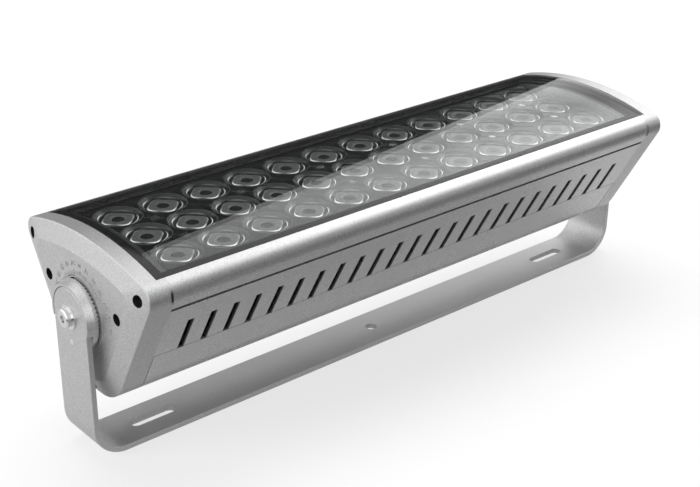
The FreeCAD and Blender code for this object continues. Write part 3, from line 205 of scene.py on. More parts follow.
@dataclass(frozen=True)
class Finish:
    """A named material.  Each kind of finish says how its shader is made."""

    name: str

    def build(self) -> Material:
        """Return the material, with the finish's shader as its surface."""
        material = bpy.data.materials.new(self.name)
        nodes = Nodes(material)
        nodes.add("OutputMaterial", {"Surface": self.shader(nodes).outputs[0]})
        return material

    def shader(self, nodes: Nodes) -> Node:
        """Add the finish's nodes and return its shader."""
        raise NotImplementedError


@dataclass(frozen=True)
class SilverCoat(Finish):
    """Fine-textured metallic paint: a silver-grey tone with small grains that catch the light."""

    colour: Colour
    roughness: float
    metallic: float = 0.72
    grain: float = 0.0008
    grain_span: Span = (0.25, 0.75)
    grain_contrast: float = 0.17
    fine_grain: float = 0.0008 / 2.4
    bump: float = 0.00007
    bump_strength: float = 0.8
    cloud: float = 0.035
    cloud_change: float = 0.012

    def hollows(self, nodes: Nodes) -> Socket | float:
        """Return how much of the tone the painted shade leaves: all of it here, as this coat has none."""
        return 1.0

    def shader(self, nodes: Nodes) -> Node:
        """Return the shader: grain in colour and bump, and a slow drift in roughness."""
        bright = nodes.ramp(nodes.noise(self.grain, 3.0), self.grain_span,
                            1.0 - self.grain_contrast, 1.0 + self.grain_contrast)
        # darken the grain's tone by the subclass's painted shade, if it has any
        bright = nodes.times(bright, self.hollows(nodes))
        rough = nodes.drift(self.cloud, self.roughness - self.cloud_change,
                            self.roughness + self.cloud_change)
        normal = nodes.bumps(nodes.noise(self.fine_grain, 1.0), self.bump, self.bump_strength)
        return nodes.add("BsdfPrincipled", {
            "Base Color": nodes.tinted(self.colour, bright), "Metallic": self.metallic,
            "Roughness": rough, "Normal": normal})


@dataclass(frozen=True)
class ProfileCoat(SilverCoat):
    """The coat of the extrusions, with painted shade inside the vent slots, the grooves and the seams.

    shade is the tone left there.  Depths below the flank and heights up it are in metres.
    """

    shade: float = 0.18
    depths: Span = (0.0003, 0.0022)
    low_end: Span = (0.0, 0.001)
    high_end: Span = (0.0561, 0.0564)

    def hollows(self, nodes: Nodes) -> Socket:
        """Return the tone that the painted shade leaves, by the depth below the flank, between two heights up
        it.
        """
        _, side, level = nodes.from_pivot()
        rise, run = math.cos(FLANK_LEAN), math.sin(FLANK_LEAN)
        outward = nodes.maths("MULTIPLY_ADD", level, -run, nodes.times(side, rise))
        height = nodes.maths("MULTIPLY_ADD", level, rise, nodes.times(side, run))
        depth = nodes.maths("SUBTRACT", FLANK_REACH * MM, outward)
        # painted shade: the deeper below the flank, the darker, between the flank's lower and upper ends
        buried = nodes.ramp(depth, self.depths, 0.0, 1.0 - self.shade)
        between = nodes.times(nodes.ramp(height, self.low_end),
                              nodes.ramp(height, self.high_end, 1.0, 0.0))
        return nodes.maths("SUBTRACT", 1.0, nodes.times(buried, between))


@dataclass(frozen=True)
class CastCoat(SilverCoat):
    """The coat of the castings, with painted shade down in the screw recesses and in the dial's window.

    shade is the tone left there.  Places, radii and depths are in millimetres from the tilt axis or the
    cap's face.
    """

    shade: float = 0.10
    recess: float = 4.15
    places: tuple = ((65.30, 33.01), (42.30, 11.53), (0.0, -54.0))
    window: Span = (19.5, 24.3)
    window_depths: Span = (0.2, 0.1)
    edge: float = 0.1

    def hollows(self, nodes: Nodes) -> Socket:
        """Return the tone that the painted shade leaves, by the distance from each screw's axis and from the
        tilt axis.
        """
        end, side, level = nodes.from_pivot()
        # painted shade in the dial's window below the face, then in each screw recess
        inner, outer = (self._near(nodes, side, level, (0.0, 0.0), radius) for radius in self.window)
        behind, before = ((CAP_FACE - depth) * MM for depth in self.window_depths)
        sunk = nodes.ramp(end, (behind, before), 1.0, 0.0)
        share = nodes.times(nodes.maths("SUBTRACT", outer, inner), sunk)
        for place in self.places:
            share = nodes.maths("MAXIMUM", share, self._near(nodes, side, level, place, self.recess))
        return nodes.maths("MULTIPLY_ADD", share, self.shade - 1.0, 1.0)

    def _near(self, nodes: Nodes, side: Socket, level: Socket, place: Span, radius: float) -> Socket:
        """Return 1 within a radius of an axis along the light, and 0 beyond it.

        Args:
            nodes: The material's nodes.
            side: The distance from the middle plane.
            level: The height over the tilt axis.
            place: The axis, across and up from the tilt axis, in millimetres.
            radius: The radius in millimetres.

        Returns:
            The share.
        """
        across = nodes.maths("SUBTRACT", side, place[0] * MM)
        up = nodes.maths("SUBTRACT", level, place[1] * MM)
        squares = (nodes.maths("POWER", across, 2.0), nodes.maths("POWER", up, 2.0))
        spread = nodes.maths("SQRT", nodes.maths("ADD", *squares))
        edge = (radius * MM, (radius + self.edge) * MM)
        return nodes.ramp(spread, edge, 1.0, 0.0)


@dataclass(frozen=True)
class TurnedMetal(Finish):
    """Machined or plated metal with fine tool marks."""

    colour: Colour
    roughness: float
    marks: float = 0.0004
    bump: float = 0.00001
    bump_strength: float = 0.6
    wear: float = 0.006
    wear_change: Span = (0.8, 1.25)

    def shader(self, nodes: Nodes) -> Node:
        """Return the shader: fine noise in bump and a slow change of gloss."""
        low, high = self.wear_change
        rough = nodes.drift(self.wear, self.roughness * low, self.roughness * high, 2.0)
        normal = nodes.bumps(nodes.noise(self.marks), self.bump, self.bump_strength)
        return nodes.add("BsdfPrincipled", {
            "Base Color": (*self.colour, 1.0), "Metallic": 1.0, "Roughness": rough, "Normal": normal})


@dataclass(frozen=True)
class Moulding(Finish):
    """Moulded plastic or rubber with a fine grain."""

    colour: Colour
    roughness: float
    grain: float = 0.0007
    bump: float = 0.00003
    bump_strength: float = 0.7
    cloud: float = 0.012
    cloud_change: float = 0.15

    def shader(self, nodes: Nodes) -> Node:
        """Return the shader: grain in bump and a slow change of tone."""
        bright = nodes.drift(self.cloud, 1.0 - self.cloud_change, 1.0 + self.cloud_change)
        normal = nodes.bumps(nodes.noise(self.grain), self.bump, self.bump_strength)
        return nodes.add("BsdfPrincipled", {
            "Base Color": nodes.tinted(self.colour, bright), "Roughness": self.roughness,
            "Normal": normal})


@dataclass(frozen=True)
class ClearGlass(Finish):
    """Toughened glass: clear head on, and shinier the flatter it is looked at, on either side."""

    tint: Colour = (0.95, 0.96, 0.96)
    head_on: float = 0.04
    falloff: float = 5.0
    wave: float = 0.05
    wave_height: float = 0.000002
    wave_strength: float = 0.5
    smear: float = 0.02
    smear_span: Span = (0.45, 0.8)
    smear_rough: float = 0.004

    def shader(self, nodes: Nodes) -> Node:
        """Return the shader: a see-through body and a gloss that grows with the fifth power."""
        normal = nodes.bumps(nodes.noise(self.wave, 1.0), self.wave_height, self.wave_strength)
        rough = nodes.ramp(nodes.noise(self.smear, 4.0), self.smear_span, 0.0, self.smear_rough)
        facing = nodes.add("LayerWeight", {"Blend": 0.5, "Normal": normal}).outputs["Facing"]
        shine = nodes.maths("MULTIPLY_ADD", nodes.maths("POWER", facing, self.falloff),
                            1.0 - self.head_on, self.head_on)
        clear = nodes.add("BsdfTransparent", {"Color": (*self.tint, 1.0)})
        gloss = nodes.add("BsdfGlossy", {"Color": WHITE, "Roughness": rough, "Normal": normal})
        return nodes.add("MixShader", {0: shine, 1: clear.outputs[0], 2: gloss.outputs[0]})


@dataclass(frozen=True)
class PrintedBlack(Finish):
    """Ceramic ink fired into the glass."""

    tone: float = 0.018
    cloud: float = 0.004
    cloud_change: float = 0.15
    roughness: float = 0.9

    def shader(self, nodes: Nodes) -> Node:
        """Return the shader: a dull black with a trace of unevenness."""
        tone = nodes.drift(self.cloud, self.tone * (1.0 - self.cloud_change),
                           self.tone * (1.0 + self.cloud_change))
        return nodes.add("BsdfPrincipled", {
            "Base Color": nodes.grey(tone), "Roughness": self.roughness, "Specular IOR Level": 0.0})


@dataclass(frozen=True)
class LensAcrylic(Finish):
    """Moulded acrylic over the dark board: glossy, with painted light and painted highlights at its steps.

    The mesh says where: one attribute is 1 on the raised middle, whose lighter tone is painted light that
    stands for the emitter's light seen through the lens, and the glint attribute is 1 on the rounded steps,
    which get a painted highlight: a near-white tone, some metal-like gloss and a painted glow.
    """

    # The first two tones are without and with the painted light; glint is the painted highlight's tone,
    # mirror its metal share, and inner the strength of its painted glow.
    plate: float = 0.013
    crown: float = 0.13
    glint: float = 0.9
    mirror: float = 0.15
    inner: float = 0.55
    roughness: float = 0.13
    refraction: float = 1.49
    flow: float = 0.003
    flow_change: float = 0.15
    ripple: float = 0.0025
    ripple_height: float = 0.00002
    ripple_strength: float = 0.5

    def shader(self, nodes: Nodes) -> Node:
        """Return the shader: tone with painted light, metal-like gloss and a painted glow by the mesh's
        attributes.
        """
        crown = nodes.add("Attribute", attribute_name="crown").outputs["Fac"]
        glint = nodes.add("Attribute", attribute_name="glint").outputs["Fac"]
        flow = nodes.drift(self.flow, 1.0 - self.flow_change, 1.0 + self.flow_change)
        base = nodes.times(nodes.ramp(crown, (0.0, 1.0), self.plate, self.crown), flow)
        # painted glow: white emission on the glint steps, though the lens is no lamp
        inner = nodes.times(nodes.maths("POWER", glint, 2.0), self.inner)
        normal = nodes.bumps(nodes.noise(self.ripple), self.ripple_height, self.ripple_strength)
        return nodes.add("BsdfPrincipled", {
            "Base Color": nodes.grey(nodes.mix(glint, base, self.glint)),
            "Metallic": nodes.times(glint, self.mirror), "Roughness": self.roughness,
            "IOR": self.refraction, "Emission Color": WHITE, "Emission Strength": inner,
            "Normal": normal})


@dataclass(frozen=True)
class FloorWhite(Finish):
    """Matt white that the camera sees paler than other rays do, and that shows gloss painted reflections:
    painted shade ahead of the light and to the rear, and a painted glow under and behind it.

    The depth goes to the rear along +Y.  Spans are in metres.
    """

    seen: float = 0.98
    bounce: float = 0.55
    glow: float = 0.70
    shine: float = 0.38
    shine_depth: Span = (-0.10, -0.03)
    rear_tone: float = 0.1
    rear_depth: Span = (0.20, 0.28)
    rear_along: Span = (-0.15, -0.05)
    front_tone: float = 0.3
    front_depth: Span = (-0.22, -0.10)

    def shader(self, nodes: Nodes) -> Node:
        """Return the shader: paint and glow by the kind of ray, and the painted reflections' shade and glow
        by the place.
        """
        path = nodes.add("LightPath").outputs
        place = nodes.axes(nodes.position())
        depth = place["Y"]
        # painted shade that only gloss sees: to the rear, and ahead of the light
        rear = nodes.ramp(depth, self.rear_depth, 0.0, 1.0 - self.rear_tone)
        rear = nodes.times(rear, nodes.ramp(place["X"], self.rear_along))
        ahead = nodes.ramp(depth, self.front_depth, 1.0 - self.front_tone, 0.0)
        hidden = nodes.times(path["Is Glossy Ray"], nodes.maths("MAXIMUM", ahead, rear))
        tone = nodes.ramp(path["Is Camera Ray"], (0.0, 1.0), self.bounce, self.seen)
        tone = nodes.times(tone, nodes.maths("SUBTRACT", 1.0, hidden))
        # painted glow that only gloss sees, under and behind the light, but not in the rear shade
        shine = nodes.times(path["Is Glossy Ray"], nodes.ramp(depth, self.shine_depth, 0.0, self.shine))
        shine = nodes.times(shine, nodes.maths("SUBTRACT", 1.0, rear))
        share = nodes.maths("MULTIPLY_ADD", path["Is Camera Ray"], self.glow, shine)
        matt = nodes.add("BsdfDiffuse", {"Color": nodes.grey(tone)})
        glow = nodes.add("Emission", {"Color": WHITE, "Strength": 1.0})
        return nodes.add("MixShader", {0: share, 1: matt.outputs[0], 2: glow.outputs[0]})


# -------- surfaces


@dataclass
class Surface:
    """Points, quads and named values per point, gathered patch by patch."""

    points: list[Array] = field(default_factory=list)
    faces: list[Array] = field(default_factory=list)
    marks: dict[str, list[Array]] = field(default_factory=dict)
    count: int = 0  # points so far

    def patch(self, grid: Array, closed: bool = False, flip: bool = False, **marks: Array) -> None:
        """Add a grid of points, joined by quads.

        Args:
            grid: Points by row and column, as rows x columns x 3.
            closed: Whether the last column joins the first.
            flip: Whether the faces look the other way.
            marks: A value per point for each named attribute, rows x columns or one row's worth.
        """
        rows, columns = grid.shape[:2]
        steps = columns if closed else columns - 1
        row, column = np.meshgrid(np.arange(rows - 1), np.arange(steps), indexing="ij")
        following = (column + 1) % columns
        quads = np.stack([row * columns + column, row * columns + following,
                          (row + 1) * columns + following, (row + 1) * columns + column], axis=-1)
        quads = quads.reshape(-1, 4)
        self.faces.append((quads[:, ::-1] if flip else quads) + self.count)
        self.points.append(grid.reshape(-1, 3))
        for name, values in marks.items():
            self.marks.setdefault(name, []).append(np.broadcast_to(values, (rows, columns)).reshape(-1))
        self.count += rows * columns

    def mesh(self, name: str) -> Mesh:
        """Return a mesh of all patches, with points that coincide merged."""
        mesh = bpy.data.meshes.new(name)
        mesh.from_pydata(np.concatenate(self.points).tolist(), [], np.concatenate(self.faces).tolist())
        for mark, values in self.marks.items():
            layer = mesh.attributes.new(mark, "FLOAT", "POINT")
            layer.data.foreach_set("value", np.concatenate(values).astype(np.float32))
        with edited(mesh) as shape:
            bmesh.ops.remove_doubles(shape, verts=shape.verts, dist=MERGE)
            bmesh.ops.dissolve_degenerate(shape, edges=shape.edges, dist=MERGE)
        return mesh


@contextmanager
def edited(mesh: Mesh) -> Iterator[bmesh.types.BMesh]:
    """Open a mesh to be edited, and write it back at the end."""
    shape = bmesh.new()
    shape.from_mesh(mesh)
    yield shape
    shape.to_mesh(mesh)
    shape.free()


def add_object(name: str, data: bpy.types.ID) -> bpy.types.Object:
    """Add an object with this data to the scene and return it."""
    added = bpy.data.objects.new(name, data)
    bpy.context.scene.collection.objects.link(added)
    return added


def smooth_rounds(mesh: Mesh, crease: float = 35.0) -> None:
    """Shade a mesh smooth, with creases where faces meet at more than so many degrees."""
    mesh.polygons.foreach_set("use_smooth", [True] * len(mesh.polygons))
    mesh.set_sharp_from_angle(angle=math.radians(crease))


def place_piece(name: str, mesh: Mesh, materials: tuple[Material, ...], body: str,
                slot: str, *replaced: str) -> None:
    """Put a finished mesh into the scene as a piece of the light.

    Args:
        name: The piece's name.
        mesh: Its mesh, in the frame.
        materials: Its finishes, by the faces' material numbers.
        body: The body that it rides on.
        slot: The record's material slot for it; not used.
        replaced: The nodes that it stands for.
    """
    for material in materials:
        mesh.materials.append(material)
    piece = add_object(name, mesh)
    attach(piece, body)
    if replaced:
        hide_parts(*replaced)
    LOG.info("%s: %d faces on %s", name, len(mesh.polygons), body)


# -------- lenses


@dataclass
class LensCell:
    """One lens in its square cell, as a polar grid: stations from the middle out, by angle.

    Each station is (radius, depth below the plate's top, squareness, painted light, painted highlight), in
    millimetres and shares.  A station's radius at an angle is radius * ((1 - squareness) + squareness * S),
    where
    S = (|cos|^power + |sin|^power)^(-1/power) of the angle from the diagonal: a rounded square on its
    corner.  Ribs lie on the diagonals, and their half widths are in degrees.  The painted light lifts the
    tone of the raised middle and of the rib tops, and the painted highlight is weighted round the cell.
    """

    half: float = 18.0
    step: float = 4.5
    nearest: float = 0.3
    power: int = 4
    rib_half: float = 1.0
    rib_foot: float = 1.35
    rib_skirt: float = 2.7
    rib_drop: float = 0.35
    rib_start: float = 17.0
    screw_ring: float = 3.9
    stations: tuple = (
        (0.0, 3.6, 0, 0.1, 0), (3.6, 3.6, 0, 0.1, 0), (4.1, 3.3, 0, 0.2, 0.1), (4.3, 2.7, 0, 0.3, 0.1),
        (4.5, 2.25, 0, 0.6, 0), (4.9, 2.0, 0, 1, 0), (5.5, 1.92, 0.1, 1, 0), (7.4, 1.88, 0.6, 1, 0),
        (9.1, 1.90, 1, 1, 0), (9.6, 1.98, 1, 1, 0.7), (10.0, 2.2, 1, 0.9, 1), (10.25, 2.55, 1, 0.7, 0.8),
        (10.35, 3.0, 1, 0.3, 0.2), (10.4, 3.9, 1, 0, 0.1), (10.6, 4.3, 1, 0, 0), (12.75, 4.3, 0, 0, 0),
        (12.95, 4.0, 0, 0, 0), (13.15, 2.6, 0, 0, 0.3), (13.3, 1.75, 0, 0, 0.9), (13.5, 1.5, 0, 0, 1),
        (13.75, 1.5, 0, 0, 0.8), (14.0, 1.75, 0, 0, 0), (14.2, 1.9, 0, 0.1, 0), (15.2, 1.5, 0, 0.12, 0),
        (16.3, 0.75, 0, 0.15, 0), (16.6, 0.5, 0, 0.1, 0), (16.75, 0.15, 0, 0.15, 0.03),
        (17.0, 0.0, 0, 0.2, 0.06), (17.2, 0.12, 0, 0.15, 0.03), (17.3, 0.35, 0, 0, 0))
    crown_edge: tuple = (9.3, 10.5)
    ridge: tuple = (13.0, 13.9)
    # how the painted highlight is weighted round the cell, and the rib tops' painted highlight
    glint_floor: float = 0.12
    glint_rear: float = 0.45
    ridge_across: float = 0.25
    rib_tone: float = 0.22

    def angles(self) -> Array:
        """Return the grid's angles in degrees, closer together at the ribs on the diagonals."""
        ring_end = 45 - math.degrees(math.atan2(self.half - self.screw_ring, self.half))
        beside = np.array([self.rib_half, self.rib_foot, self.rib_skirt, ring_end])
        offsets = np.concatenate([-beside, beside])
        extra = (np.arange(45, 360, 90)[:, None] + offsets).ravel()
        plain = np.arange(0, 360, self.step)
        keep = np.abs(plain[:, None] - extra[None, :]).min(axis=1) > self.nearest
        return np.sort(np.concatenate([plain[keep], extra]))

    def border(self, angles: Array, screw_corners: list[int]) -> Array:
        """Return how far the cell reaches at each angle: to its square, or to a screw's ring.

        Args:
            angles: The grid's angles in degrees.
            screw_corners: The diagonals, counted from the first, that end at a screw.

        Returns:
            The distances in millimetres.
        """
        turn = np.radians(angles)
        reach = self.half / np.maximum(np.abs(np.cos(turn)), np.abs(np.sin(turn)))
        corner = self.half * math.sqrt(2)
        for index in screw_corners:
            aside = np.radians(angles - (45 + 90 * index))
            under = self.screw_ring ** 2 - (corner * np.sin(aside)) ** 2
            near = corner * np.cos(aside) - np.sqrt(np.maximum(under, 0))
            facing = (under >= 0) & (np.cos(aside) > 0)
            reach = np.where(facing, np.minimum(reach, near), reach)
        return reach

    def build(self, surface: Surface, centre: Array, screw_corners: list[int]) -> tuple[Array, Array]:
        """Add the cell to a surface.

        Args:
            surface: What takes the cell's faces.
            centre: The lens's middle at the plate's top, in millimetres.
            screw_corners: The diagonals that end at a screw.

        Returns:
            The angles and the outermost row of points.
        """
        angles = self.angles()
        turn = np.radians(angles)
        table = np.array(self.stations, float)
        round_square = (np.abs(np.cos(turn - math.pi / 4)) ** self.power
                        + np.abs(np.sin(turn - math.pi / 4)) ** self.power) ** (-1 / self.power)
        shape = (1 - table[:, 2:3]) + table[:, 2:3] * round_square[None, :]
        radius = table[:, 0:1] * shape
        height = np.repeat(-table[:, 1:2], len(turn), axis=1)
        reach = self.border(angles, screw_corners)
        radius = np.vstack([radius, reach])
        height = np.vstack([height, np.full(len(turn), -self.rib_drop)])
        aside = np.abs(angles % 90 - 45)
        rib = np.clip((self.rib_foot - aside) / (self.rib_foot - self.rib_half), 0, 1)
        outer = radius > self.rib_start
        height = np.where(outer, np.maximum(height, -self.rib_drop * (1 - rib)), height)
        grid = np.stack([radius * np.cos(turn), radius * np.sin(turn), height], axis=-1) + centre
        # painted light: the stations' share, and a painted highlight on the rib tops beyond the lens
        crown = np.concatenate([table[:, 3], [0]])[:, None]
        crown = np.where(outer, rib[None, :] * self.rib_tone, crown)
        # painted highlight: the glint column, weighted round the cell, strongest at the crown's front corners
        # and on the ridge at two diagonals, weaker towards the rear
        glint = np.concatenate([table[:, 4], [0]])[:, None]
        forward = np.cos(turn) + np.sin(turn) < 0
        corner = np.cos(2 * turn) ** 2 * np.where(forward, 1, self.glint_rear)
        corner = self.glint_floor + (1 - self.glint_floor) * corner
        sides = np.sin(2 * turn) ** 2 * np.where(np.sin(2 * turn) < 0, 1, self.ridge_across)
        for (low, high), weight in ((self.crown_edge, corner), (self.ridge, sides)):
            chosen = np.append((table[:, 0] > low) & (table[:, 0] < high), False)[:, None]
            glint = np.where(chosen, glint * weight[None, :], glint)
        surface.patch(grid, closed=True, crown=crown, glint=glint)
        return angles, grid[-1]


@dataclass
class LensArray:
    """Six moulded modules of six lenses, each with a plate, ribs and two screw seats.

    The edge is (out from the cells, depth) and the seat (radius, depth), row by row in millimetres.
    """

    finish: LensAcrylic
    modules: int = 6
    columns: int = 2
    rows: int = 3
    pitch: float = 36.0
    gap: float = 0.5
    plate: float = 2.4
    edge: tuple = ((4.3, 0.35), (4.7, 0.45), (4.93, 0.7), (5.0, 1.1))
    # painted highlight along the rounded long edge, row by row
    edge_glint: tuple = (0.0, 0.0, 0.5, 0.5, 0.0)
    seat: tuple = ((3.75, 0.05), (3.5, 0.0), (3.2, 0.05), (3.0, 0.3), (2.9, 2.0), (1.7, 2.0), (1.65, 2.3))
    # painted light on the screw seats
    seat_tone: float = 0.3
    cell: LensCell = field(default_factory=LensCell)

    def build(self) -> None:
        """Build the modules and set each in its node's place."""
        material = self.finish.build()
        for index in range(1, self.modules + 1):
            node = f"lens_module_{index}"
            low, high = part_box(node)
            middle = np.array([(low.x + high.x) / 2, (low.y + high.y) / 2, high.z]) / MM
            mesh = self._module(node + "_optic", middle)
            place_piece(mesh.name, mesh, (material,), "head", "clear_acrylic", node)

    def _module(self, name: str, middle: Array) -> Mesh:
        """Return one module's mesh, closed below."""
        surface = Surface()
        for column in range(self.columns):
            for row in range(self.rows):
                place = np.array([(column - (self.columns - 1) / 2) * self.pitch,
                                  (row - (self.rows - 1) / 2) * self.pitch, 0.0])
                corners = self._screw_corners(column, row)
                angles, border = self.cell.build(surface, place, corners)
                for corner in corners:
                    self._seat(surface, border, place, corner)
                if row in (0, self.rows - 1):
                    self._edge(surface, angles, border, -1 if row == 0 else 1)
        reach = self.columns * self.pitch / 2 - self.gap / 2
        for block in surface.points:
            block[:, 0] = np.clip(block[:, 0], -reach, reach)
        surface.points = [(block + middle) * MM for block in surface.points]
        mesh = surface.mesh(name)
        close_below(mesh, (middle[2] - self.plate) * MM)
        smooth_rounds(mesh)
        return mesh

    def _screw_corners(self, column: int, row: int) -> list[int]:
        """Return which of a cell's diagonals end at a screw: those towards the module's middle line."""
        upper, lower = {0: (0, 3), 1: (1, 2)}[column]
        return [corner for corner, wanted in ((upper, row < self.rows - 1), (lower, row > 0)) if wanted]

    def _seat(self, surface: Surface, border: Array, place: Array, corner: int) -> None:
        """Add a quarter of a screw's raised ring and recess, carried on from the cell's cut corner.

        Args:
            surface: What takes the faces.
            border: The cell's outermost points.
            place: The lens's middle.
            corner: The diagonal that ends at the screw.
        """
        turn = math.radians(45 + 90 * corner)
        way = np.array([np.sign(math.cos(turn)), np.sign(math.sin(turn)), 0])
        screw = place + self.cell.half * way
        spokes = border - screw
        distance = np.hypot(spokes[:, 0], spokes[:, 1])
        arc = border[distance < self.cell.screw_ring + SLACK]
        spokes = (arc - screw) / self.cell.screw_ring
        spokes[:, 2] = 0
        rows = [arc]
        for radius, depth in self.seat:
            ring = screw + spokes * radius
            ring[:, 2] = place[2] - depth
            rows.append(ring)
        # the seat takes painted light and no painted highlight
        surface.patch(np.stack(rows), crown=self.seat_tone, glint=0.0)

    def _edge(self, surface: Surface, angles: Array, border: Array, side: int) -> None:
        """Add the strip between the outer lenses and the plate's rounded long edge.

        Args:
            surface: What takes the faces.
            angles: The cell's angles in degrees.
            border: The cell's outermost points.
            side: Which long edge, -1 or 1.
        """
        along = np.abs(angles - (90 if side > 0 else 270)) <= 45 + SLACK
        rows = [border[along]]
        for out, depth in self.edge:
            row = rows[0].copy()
            row[:, 1] += side * out
            row[:, 2] = -depth
            rows.append(row)
        # the edge strip takes the painted highlight of edge_glint and no painted light
        surface.patch(np.stack(rows), crown=0.0, glint=np.array(self.edge_glint)[:, None])


def close_below(mesh: Mesh, bottom: float) -> None:
    """Carry a mesh's open edges down to a level and close it there, with holes where it has them.

    Args:
        mesh: The mesh, open below.
        bottom: The level in metres.
    """
    with edited(mesh) as shape:
        rim = [edge for edge in shape.edges if edge.is_boundary]
        drawn = bmesh.ops.extrude_edge_only(shape, edges=rim)["geom"]
        for vertex in drawn:
            if isinstance(vertex, bmesh.types.BMVert):
                vertex.co.z = bottom
        lower = [edge for edge in drawn if isinstance(edge, bmesh.types.BMEdge) and edge.is_boundary]
        bmesh.ops.triangle_fill(shape, use_beauty=True, use_dissolve=False, edges=lower)
        bmesh.ops.recalc_face_normals(shape, faces=shape.faces)


# -------- glass


@dataclass
class GlassPane:
    """The arched pane with eased edges, and the black printed border that is laminated into it.

    Its upper face is z = centre + sqrt(radius^2 - y^2), its lower one the same with the radius less the
    thickness.  Within the easing of an edge both draw in by r - sqrt(r^2 - (r - distance)^2).
    """

    finish: ClearGlass
    ink: PrintedBlack
    radius: float = 240.0
    thickness: float = 4.0
    easing: float = 0.7
    easing_turns: tuple = (30, 60, 90)
    window_end: float = 226.0
    window_side: float = 60.0
    window_clear: float = 0.5
    ink_depth: float = 1.3
    ink_thickness: float = 0.1
    ink_inset: float = 0.3
    arc_steps: int = 44
    length_steps: int = 24

    def build(self) -> None:
        """Build the pane in its node's place."""
        _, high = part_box("cover_glass")
        half_length = high.x / MM
        half_width = high.y / MM
        centre = high.z / MM - self.radius
        along = self._stops(half_length, self.window_end, self.length_steps)
        across = self._stops(half_width, self.window_side, self.arc_steps)
        x, y = np.meshgrid(along, across, indexing="ij")
        edge = np.minimum(half_length - np.abs(x), half_width - np.abs(y))
        inside = np.clip(self.easing - edge, 0, self.easing)
        draw_in = self.easing - np.sqrt(self.easing ** 2 - inside ** 2)
        top = centre + np.sqrt(self.radius ** 2 - y ** 2) - draw_in
        bottom = centre + np.sqrt((self.radius - self.thickness) ** 2 - y ** 2) + draw_in
        surface = Surface()
        surface.patch(np.stack([x, y, top], axis=-1) * MM)
        surface.patch(np.stack([x, y, bottom], axis=-1) * MM, flip=True)
        around = self._rim(len(along), len(across))
        upper = surface.points[0][around]
        lower = surface.points[1][around]
        surface.patch(np.stack([upper, lower]), closed=True)
        mesh = surface.mesh("cover_glass_pane")
        with edited(mesh) as shape:
            self._print(shape, along, across, centre)
            bmesh.ops.recalc_face_normals(shape, faces=shape.faces)
        smooth_rounds(mesh)
        finishes = (self.finish.build(), self.ink.build())
        place_piece(mesh.name, mesh, finishes, "head", "clear_glass", "cover_glass")

    def _stops(self, half: float, window: float, steps: int) -> Array:
        """Return the grid's places in one direction: even, with the window's edges and the easing."""
        plain = np.linspace(-half + self.easing, half - self.easing, steps)
        plain = plain[np.abs(np.abs(plain) - window) > self.window_clear]
        ease = half - self.easing * (1 - np.sin(np.radians(self.easing_turns)))
        return np.sort(np.concatenate([plain, [-window, window], ease, -ease]))

    def _rim(self, rows: int, columns: int) -> Array:
        """Return the numbers of a grid's outer points in order round it."""
        number = np.arange(rows * columns).reshape(rows, columns)
        return np.concatenate([number[0, :-1], number[:-1, -1], number[-1, :0:-1], number[:0:-1, 0]])

    def _print(self, shape: bmesh.types.BMesh, along: Array, across: Array, centre: float) -> None:
        """Add the border as a thin closed sheet inside the glass, in the second finish.

        Args:
            shape: The pane.
            along: The grid's places along the light in millimetres.
            across: The grid's places across it.
            centre: The height of the arch's axis in millimetres.
        """
        drawn_in = [np.clip(stops, stops[0] + self.ink_inset, stops[-1] - self.ink_inset)
                    for stops in (along, across)]
        x, y = np.meshgrid(*drawn_in, indexing="ij")
        sheet = Surface()
        for depth, flip in ((self.ink_depth, False), (self.ink_depth + self.ink_thickness, True)):
            level = centre + np.sqrt((self.radius - depth) ** 2 - y ** 2)
            sheet.patch(np.stack([x, y, level], axis=-1) * MM, flip=flip)
        mesh = sheet.mesh("ink")
        with edited(mesh) as ink:
            inside = [face for face in ink.faces if self._in_window(face.calc_center_median())]
            bmesh.ops.delete(ink, geom=inside, context="FACES")
            rims = [edge for edge in ink.edges if edge.is_boundary]
            bmesh.ops.bridge_loops(ink, edges=[edge for edge in rims if self._at_window(edge)])
            bmesh.ops.bridge_loops(ink, edges=[edge for edge in rims if not self._at_window(edge)])
            bmesh.ops.recalc_face_normals(ink, faces=ink.faces)
            for face in ink.faces:
                face.material_index = 1
        shape.from_mesh(mesh)
        bpy.data.meshes.remove(mesh)

    def _at_window(self, edge: bmesh.types.BMEdge) -> bool:
        """Tell whether a boundary edge of the border lies at the window."""
        return all(self._in_window(vertex.co, MM / 2) for vertex in edge.verts)

    def _in_window(self, point: Vector, margin: float = 0.0) -> bool:
        """Tell whether a point is over the window, or less than a margin in metres from it."""
        return (abs(point.x) < self.window_end * MM + margin
                and abs(point.y) < self.window_side * MM + margin)


# -------- dials


